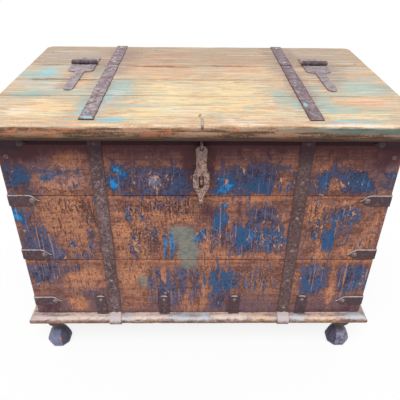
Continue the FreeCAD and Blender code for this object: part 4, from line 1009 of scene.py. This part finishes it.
def strip(path, side, half, seed, settings, thick=None, wide=9, dim=0.0, haze=0.0):
    # a flat bar along the path, its edges wandering and its faces hammered; its wear is rim, upper rim (a
    # painted highlight), ledge, dimness, old paint and haze
    thick = thick or settings["thick"]
    side = np.tile(np.array(side, float), (len(path), 1))
    up = np.cross(tangents(path), side)
    half = np.maximum(half - settings["edge"] * uneven(path, 0.045, seed), 0.0004)
    form = section(wide, 2, 3)
    points, normal = sweep(path, side, up, half, thick / 2, settings["radius"], form)
    dent = settings["hammer"] * uneven(points, 0.011, seed + 1)
    wear = np.zeros(points.shape[:2] + (8,))
    wear[..., 0] = np.clip(np.abs(form[0]) * 4 - 3, 0, 1)
    wear[..., 1] = np.clip(form[0] * 3.3 - 2.3, 0, 1) * side[:, 2:]
    wear[..., 3], wear[..., 5] = dim, haze
    spots = softBoxes(points[..., 0] * 1000, points[..., 1] * 1000, settings["spots"])
    wear[..., 4] = spots * (points[..., 2] > settings["lidLevel"][0])
    return points - normal * dent[..., None], wear


def frontStrap(node, seed):
    # down the wall, out over the ledge, round the rail's nose and under it
    low, high = corners(node)
    t = iron["thick"]
    x = (low[0] + high[0]) / 2
    wallY = corners("front_plank_top")[0][1] - t / 2
    ledge = corners("base_rail_front")[1][2] + iron["gap"] + t / 2
    noseY, under = low[1] + t / 2, low[2] + t / 2
    r = (ledge - under) / 2
    path, _ = bentPath([(x, wallY, high[2]), (x, wallY, ledge), (x, noseY, ledge), (x, noseY, under),
                        (x, noseY + r + iron["tuck"], under)], [iron["bend"], r, r], iron["spacing"])
    points, wear = strip(path, (1, 0, 0), (high[0] - low[0]) / 2, seed, iron)
    wear[..., 2] = points[..., 2] < ledge + iron["bend"]
    return points, wear


def straightStrap(node, along, seed):
    # a bar from end to end of the node's box, through its middle
    low, high = corners(node)
    ends = np.tile((low + high) / 2, (2, 1))
    ends[:, along] = low[along], high[along]
    path, _ = bentPath(ends, [], iron["spacing"])
    return strip(path, (1, 0, 0), (high[0] - low[0]) / 2, seed, iron)


cornerStraps = {
    "length": 0.071,
    "half": 0.0155,
    "tip": 0.026,
    # distance from the point as a share of the tip, and half height as a share of the strap's
    "ogee": [(0, 0.03), (0.10, 0.07), (0.22, 0.13), (0.38, 0.36), (0.60, 0.78), (0.80, 0.94), (1.0, 1.0)],
    "bend": 0.0024,
    "spacing": 0.0018,
    "edge": 0.0006,
    "levels": [0.62300, 0.48020, 0.32320, 0.16400],
}


def cornerStrap(cornerX, cornerY, level, sx, sy, c, seed):
    # one bar bent round the corner, with an ogee point at each end
    t = iron["thick"]
    x, y = cornerX + sx * t / 2, cornerY + sy * t / 2
    path, at = bentPath([(cornerX - sx * c["length"], y, level), (x, y, level),
                         (x, cornerY - sy * c["length"], level)], [c["bend"]], c["spacing"])
    near = np.minimum(at, at[-1] - at) / c["tip"]
    share = np.interp(near, *np.array(c["ogee"]).T)
    return strip(path, (0, 0, 1), c["half"] * share, seed, dict(iron, edge=c["edge"]), dim=1.0)


clips = {
    "half": 0.0145,
    "arch": 0.006,
    "toe": 0.0045,
    "bend": 0.0026,
    "spacing": 0.0016,
    "edge": 0.0005,
    # how far down the arched top carries a painted highlight
    "brightTop": 0.0030,
    "places": [-0.260, -0.094, 0.092, 0.271],
}


def clip(x, wallY, top, bottom, c, seed):
    # a tab with an arched top, bent out at its foot
    t = iron["thick"]
    path, at = bentPath([(x, wallY - t / 2, top), (x, wallY - t / 2, bottom + t / 2),
                         (x, wallY - c["toe"], bottom + t / 2)], [c["bend"]], c["spacing"])
    r = (c["half"] ** 2 + c["arch"] ** 2) / (2 * c["arch"])
    arch = np.sqrt(np.maximum(r ** 2 - (r - np.minimum(at, c["arch"])) ** 2, 0))
    look = dict(iron, edge=c["edge"])
    points, wear = strip(path, (1, 0, 0), np.maximum(arch, 0.001), seed, look, dim=1.0)
    # painted highlight along the arched top
    wear[..., 1] = np.clip(1.6 - at / c["brightTop"], 0, 1)[:, None]
    return points, wear


hinges = {
    "half": 0.0325,
    "thick": 0.003,
    "notch": 0.0085,
    "knuckle": 0.0065,
    "knuckleHalf": 0.0105,
    "sideGap": 0.0005,
    "edge": 0.0006,
    "spacing": 0.002,
    "lap": 0.002,                    # a tongue from a knuckle laps this far into its leaf
    "tongue": 0.003,                 # and starts this far from the pin
    "dent": 0.0003,
    # distance from the pin and half width of the front leaf
    "leaf": [(0.0085, 0.0325), (0.053, 0.0325), (0.0585, 0.0300), (0.0630, 0.0245), (0.0655, 0.0175),
             (0.0670, 0.0120), (0.1890, 0.0120), (0.1950, 0.0104), (0.1990, 0.0066), (0.2010, 0.0010)],
}


def barrel(x0, x1, y, z, h, seed):
    # a round knuckle from x0 to x1 about the pin, its ends turned over and its face dented
    s, inset = endRound(x1 - x0, iron["radius"], 4, h["spacing"])
    path = np.tile([0.0, y, z], (len(s), 1))
    path[:, 0] = x0 + s
    r = h["knuckle"] - inset
    side, up = np.tile(axes[1], (len(s), 1)), np.tile(axes[2], (len(s), 1))
    points, normal = sweep(path, side, up, r, r, 1.0, section(0, 0, 6))
    wear = np.zeros(points.shape[:2] + (8,))
    wear[..., 3], wear[..., 5] = 0.9, 0.30
    dent = h["dent"] * np.clip(ripple(points, 0.01, seed), 0, 1)
    return points - normal * dent[..., None], wear


def hingeLeaves(sideName, h, seed):
    # front leaf: its outline swept forward from the pin, and two outer knuckles with their tongues;
    # rear leaf: a plain plate behind the pin, and the middle knuckle with its tongue
    low, high = corners("hinge_front_leaf_" + sideName)
    pinLow, pinHigh = corners("hinge_pin_" + sideName)
    rearLow, rearHigh = corners("hinge_rear_leaf_" + sideName)
    x, t = (low[0] + high[0]) / 2, h["thick"]
    y, z = (pinLow[1] + pinHigh[1]) / 2, (pinLow[2] + pinHigh[2]) / 2
    lidTop, rearTop = low[2] + t / 2, rearLow[2] + t / 2
    outline = np.array(h["leaf"])
    at = np.unique(np.r_[outline[:, 0], np.linspace(outline[0, 0], outline[-1, 0], 90)])
    path = np.c_[np.full(len(at), x), y - at, np.full(len(at), lidTop)]
    look, plain = dict(iron, edge=h["edge"]), dict(iron, edge=0.0)

    def run(x, y0, y1, level):
        return bentPath([(x, y0, level), (x, y1, level)], [], h["spacing"])[0]

    front = [strip(path, (1, 0, 0), np.interp(at, *outline.T), seed, look, t, 21, haze=1.0)]
    k, g = h["knuckleHalf"], h["sideGap"]
    for a, b in ((x - h["half"], x - k - g), (x + k + g, x + h["half"])):
        flat = run((a + b) / 2, y - h["notch"] - h["lap"], y - h["tongue"], lidTop)
        front += [strip(flat, (1, 0, 0), (b - a) / 2, seed + 3, plain), barrel(a, b, y, z, h, seed + 4)]
    back = run(x, y + h["notch"], rearHigh[1], rearTop)
    flat = run(x, y + h["tongue"], y + h["notch"] + h["lap"], rearTop)
    rear = [strip(back, (1, 0, 0), h["half"], seed + 5, look, t, 21, haze=1.0),
            barrel(x - k, x + k, y, z, h, seed + 6), strip(flat, (1, 0, 0), k, seed + 7, plain)]
    return front, rear


def strapIron():
    k = Look("strapIron")
    p = k.place()
    x, _, z = k.parts(p)
    up = k.facing()[2]
    rim, upper, ledge, dim = k.masks("wear")
    spot, haze = k.masks("tone")[:2]
    broad = k.noise(p, 16, 4, 0.6, 0.3) - 0.5
    blotch = k.noise(p, 120, 5, 0.68, 0.3) - 0.5
    grit = k.noise(p, 430, 3, 0.65) - 0.5
    hammer = k.cells(p, 110)
    color = k.coat((0.080, 0.048, 0.050), blotch + grit * 0.8 + broad * 0.6, -0.2, 0.25, 1,
                   (0.255, 0.172, 0.170))
    color = k.coat(color, broad + grit * 0.4, 0.06, 0.20, 0.5, (0.250, 0.120, 0.080))
    color = k.coat(color, x, *iron["rightHalf"], 0.55, (0.085, 0.046, 0.041))
    color = k.mix(dim * 0.78, color, (0.070, 0.042, 0.053))
    flat = k.ramp(up, 0.15, 0.75) * k.ramp(z, *iron["lidLevel"]) * (1 - dim * 0.75)
    worn = k.noise(p, 55, 5, 0.7, 0.4) - 0.5
    dust = k.coat((0.165, 0.098, 0.110), worn * 0.7 + blotch * 0.8 + grit * 0.7, -0.2, 0.2, 1,
                  (0.520, 0.440, 0.470))
    dust = k.coat(dust, x, *iron["rightHalf"], 0.50, (0.155, 0.105, 0.120))
    color = k.mix(flat, color, dust)
    fleck = k.ramp(grit + blotch * 0.6 + worn * 0.4, 0.12, 0.21)
    color = k.mix(fleck * (flat * 0.65 + 0.20), color, (0.80, 0.75, 0.76))
    color = k.mix(rim * (0.65 - flat * 0.3), color, (0.095, 0.057, 0.060))
    color = k.mix(k.ramp(z, *iron["lidShade"]) * (1 - flat) * 0.85, color, (0.050, 0.026, 0.034))
    color = k.coat(color, grit, -0.10, -0.20, 0.6, (0.055, 0.036, 0.036))
    color = k.mix(ledge * k.ramp(up + blotch, -0.5, 0.6, 0.1, 0.9), color, (0.62, 0.54, 0.54))
    # painted highlight on the upper rims, taken away under the lid where its shadow falls
    rimHighlight = k.ramp(upper + grit * 1.4 + blotch, 0.45, 1.05, 0, 0.62) * k.ramp(z, *iron["brightBelow"])
    color = k.mix(rimHighlight, color, (0.80, 0.71, 0.69))
    color = k.mix(haze * k.ramp(worn + blotch, -0.25, 0.25, 0.25, 0.80), color, (0.47, 0.41, 0.42))
    color = k.coat(color, spot + blotch, 0.3, 0.7, 0.85, (0.34, 0.68, 0.76))
    height = hammer * 0.4 + blotch * 0.5 + grit * 0.4
    return k.finish(color, k.ramp(blotch, -0.15, 0.15, 0.50, 0.72), k.bump(height, 0.0010, 0.6), 0.08)


def haspIron():
    k = Look("haspIron")
    p = k.place()
    z = k.parts(p)[2]
    blotch = k.noise(p, 130, 5, 0.7, 0.3) - 0.5
    grit = k.noise(p, 480, 3, 0.65) - 0.5
    color = k.coat((0.110, 0.062, 0.055), blotch + grit * 0.4, -0.10, 0.10, 1, (0.42, 0.272, 0.226))
    color = k.coat(color, grit, 0.08, 0.16, 1, (0.72, 0.56, 0.49))
    color = k.coat(color, grit, -0.08, -0.18, 0.8, (0.075, 0.050, 0.050))
    color = k.coat(color, z + blotch * 0.03, *iron["haspShade"], 0.6, (0.16, 0.115, 0.117))
    color = k.coat(color, z, *iron["eyeTop"], 0.7, (0.62, 0.53, 0.48))
    return k.finish(color, 0.55, k.bump(blotch + grit * 0.5, 0.0010, 0.6), 0.2, 0.15)


def nailIron():
    k = Look("nailIron")
    p = k.place()
    _, y, z = k.parts(p)
    up = k.facing()[2]
    grit = k.noise(p, 380, 4, 0.65) - 0.5
    color = k.coat((0.085, 0.052, 0.056), grit, -0.15, 0.15, 1, (0.260, 0.180, 0.175))
    # painted highlight on the faces that look up
    color = k.coat(color, up + grit, 0.25, 0.70, 0.38, (0.55, 0.47, 0.46))
    wood = k.coat((0.44, 0.36, 0.31), grit, -0.15, 0.15, 1, (0.60, 0.51, 0.45))
    behind, inside, low, high = iron["rearNails"]
    color = k.mix(k.ramp(y, behind, inside) * k.ramp(z, low, high), color, wood)
    # painted shadow under the lid
    start, full, thin, gone = iron["nailShade"]
    lidShadow = k.ramp(z, start, full) * k.ramp(z, gone, thin) * 0.75
    color = k.mix(lidShadow, color, (0.050, 0.032, 0.036))
    return k.finish(color, 0.55, k.bump(grit, 0.0008, 0.5), 0.2, 0.15)


finishes.update({"strap_iron": strapIron(), "hasp_iron": haspIron(), "nail_iron": nailIron()})
for side in ("left", "right"):
    seed = 500 + len(side)
    addSkin("front_strap_" + side, [frontStrap("front_strap_" + side, seed)], "chest", "strap_iron")
    for strap, along, body, step in (("back_strap_", 2, "chest", 10), ("lid_strap_", 1, "lid", 20),
                                     ("rear_top_strap_", 1, "chest", 30)):
        addSkin(strap + side, [straightStrap(strap + side, along, seed + step)], body, "strap_iron")
    frontLeaf, rearLeaf = hingeLeaves(side, hinges, seed + 40)
    addSkin("hinge_front_leaf_" + side, frontLeaf, "lid", "strap_iron")
    addSkin("hinge_rear_leaf_" + side, rearLeaf, "chest", "strap_iron")

wallLow, wallHigh = corners("front_plank_top")[0], corners("back_plank_top")[1]
for end, y, sy in (("front", wallLow[1], -1), ("back", wallHigh[1], 1)):
    for side, x, sx in (("left", wallLow[0], -1), ("right", wallHigh[0], 1)):
        bars = [cornerStrap(x, y, z, sx, sy, cornerStraps, 560 + i)
                for i, z in enumerate(cornerStraps["levels"])]
        addSkin("corner_straps_" + end + "_" + side, bars, "chest", "strap_iron")

clipLow, clipHigh = corners("base_clips_front")
tabs = [clip(x, wallLow[1], clipHigh[2], clipLow[2], clips, 580 + i)
        for i, x in enumerate(clips["places"])]
addSkin("base_clips_front", tabs, "chest", "strap_iron", "base_clips")

for node in ("wall_strap_nails", "corner_strap_nails", "base_clip_nails", "plank_nails", "base_nails",
             "rear_top_nails", "lid_top_nails", "batten_nails", "hinge_pin_left", "hinge_pin_right"):
    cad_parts[node].data.materials[0] = finishes["nail_iron"]

# hasp, its eye and the staple

hasp = {
    # half width and drop below the hole, mm
    "outline": [(0, -7.5), (4.6, -6.8), (8.7, -4.5), (11.5, -1.2), (12.5, 3.0), (11.8, 14),
                (10.6, 38), (11.2, 44), (16.2, 60), (17.5, 65), (18.2, 72), (18.3, 79),
                (18.1, 86), (17.3, 93), (7.4, 113), (5.5, 118), (5.4, 122)],
    "slotHalf": 5.5,
    "slot": (64.0, 95.5),
    "hole": 4.2,
    "rim": 0.0075,
    "thick": 0.004,
    "bevel": 0.0009,
    "tipHalf": 0.0054,
    "tipDrop": 0.122,
    "curlRadius": 0.007,
    "curlTurn": math.radians(105),
    "joint": 0.004,                  # the curl starts this far up the plate
    "edge": 0.0003,
    "round": 0.0012,
    "sharp": math.radians(40),
}


def smoothLoop(points, count, passes):
    # a closed outline spaced evenly, then each point averaged with its neighbours
    ring = np.vstack([points, points[:1]])
    far = np.r_[0, np.cumsum(np.linalg.norm(np.diff(ring, axis=0), axis=1))]
    at = np.linspace(0, far[-1], count, endpoint=False)
    loop = np.stack([np.interp(at, far, ring[:, c]) for c in range(2)], -1)
    for _ in range(passes):
        loop = (np.roll(loop, 1, 0) + 2 * loop + np.roll(loop, -1, 0)) / 4
    return loop


def haspPlate(h):
    # outline, slot and hole as flat curves, filled, given thickness and a bevel, then made mesh
    right = np.array(h["outline"])
    outline = smoothLoop(np.vstack([right, right[:0:-1] * [-1, 1]]), 320, 3)
    top, bottom = h["slot"][0] + h["slotHalf"], h["slot"][1] - h["slotHalf"]
    t = np.linspace(0, np.pi, 17)
    arch = np.c_[np.cos(t), -np.sin(t)] * h["slotHalf"]
    slot = np.vstack([arch + [0, top], -arch + [0, bottom]])
    turn = np.linspace(0, 2 * np.pi, 32, endpoint=False)
    hole = np.c_[np.cos(turn), np.sin(turn)] * h["hole"]
    data = bpy.data.curves.new("haspPlate", "CURVE")
    data.dimensions, data.fill_mode = "2D", "BOTH"
    data.extrude = h["thick"] / 2 - h["bevel"]
    data.bevel_depth, data.bevel_resolution, data.offset = h["bevel"], 2, -h["bevel"]
    for loop in (outline, slot, hole):
        spline = data.splines.new("POLY")
        spline.points.add(len(loop) - 1)
        spline.points.foreach_set("co", np.c_[loop / 1000, np.zeros(len(loop)), np.ones(len(loop))].ravel())
        spline.use_cyclic_u = True
    flat = bpy.data.objects.new("haspPlate", data)
    scene.collection.objects.link(flat)
    mesh = bpy.data.meshes.new_from_object(flat.evaluated_get(bpy.context.evaluated_depsgraph_get()))
    bpy.data.objects.remove(flat)
    return mesh


def addHasp(h):
    # the plate stood upright, and the curl joined to its foot
    high = corners("hasp")[1]
    holeZ = high[2] - h["rim"]
    plateY = high[1] - h["thick"] / 2
    mesh = haspPlate(h)
    co = np.zeros(len(mesh.vertices) * 3)
    mesh.vertices.foreach_get("co", co)
    x, drop, depth = co.reshape(-1, 3).T
    mesh.vertices.foreach_set("co", np.c_[x, plateY + depth, holeZ - drop].ravel())
    # the tip curls forward and up round a centre in front of the plate
    r, turn = h["curlRadius"], np.linspace(0, h["curlTurn"], 18)
    path = np.c_[0 * turn, plateY - r + r * np.cos(turn), holeZ - h["tipDrop"] - r * np.sin(turn)]
    path = np.vstack([[0, plateY, holeZ - h["tipDrop"] + h["joint"]], path])
    width = h["tipHalf"] * np.interp(np.linspace(0, 1, len(path)), [0, 0.7, 1], [1, 1, 0.75])
    look = dict(iron, edge=h["edge"], radius=h["round"])
    points, _ = strip(path, (1, 0, 0), width, 590, look, h["thick"])
    curl = bpy.data.meshes.new("haspCurl")
    curl.from_pydata(points.reshape(-1, 3).tolist(), [], faces(*points.shape[:2]))
    work = bmesh.new()
    work.from_mesh(mesh)
    work.from_mesh(curl)
    work.to_mesh(mesh)
    work.free()
    mesh.name = "skin_hasp"
    dress(mesh, np.zeros((len(mesh.vertices), 8)), "hasp", "hasp", "hasp_iron")
    mesh.set_sharp_from_angle(angle=h["sharp"])


addHasp(hasp)
for node in ("hasp_eye", "wall_staple"):
    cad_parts[node].data.materials[0] = finishes["hasp_iron"]
print("ironwork built")
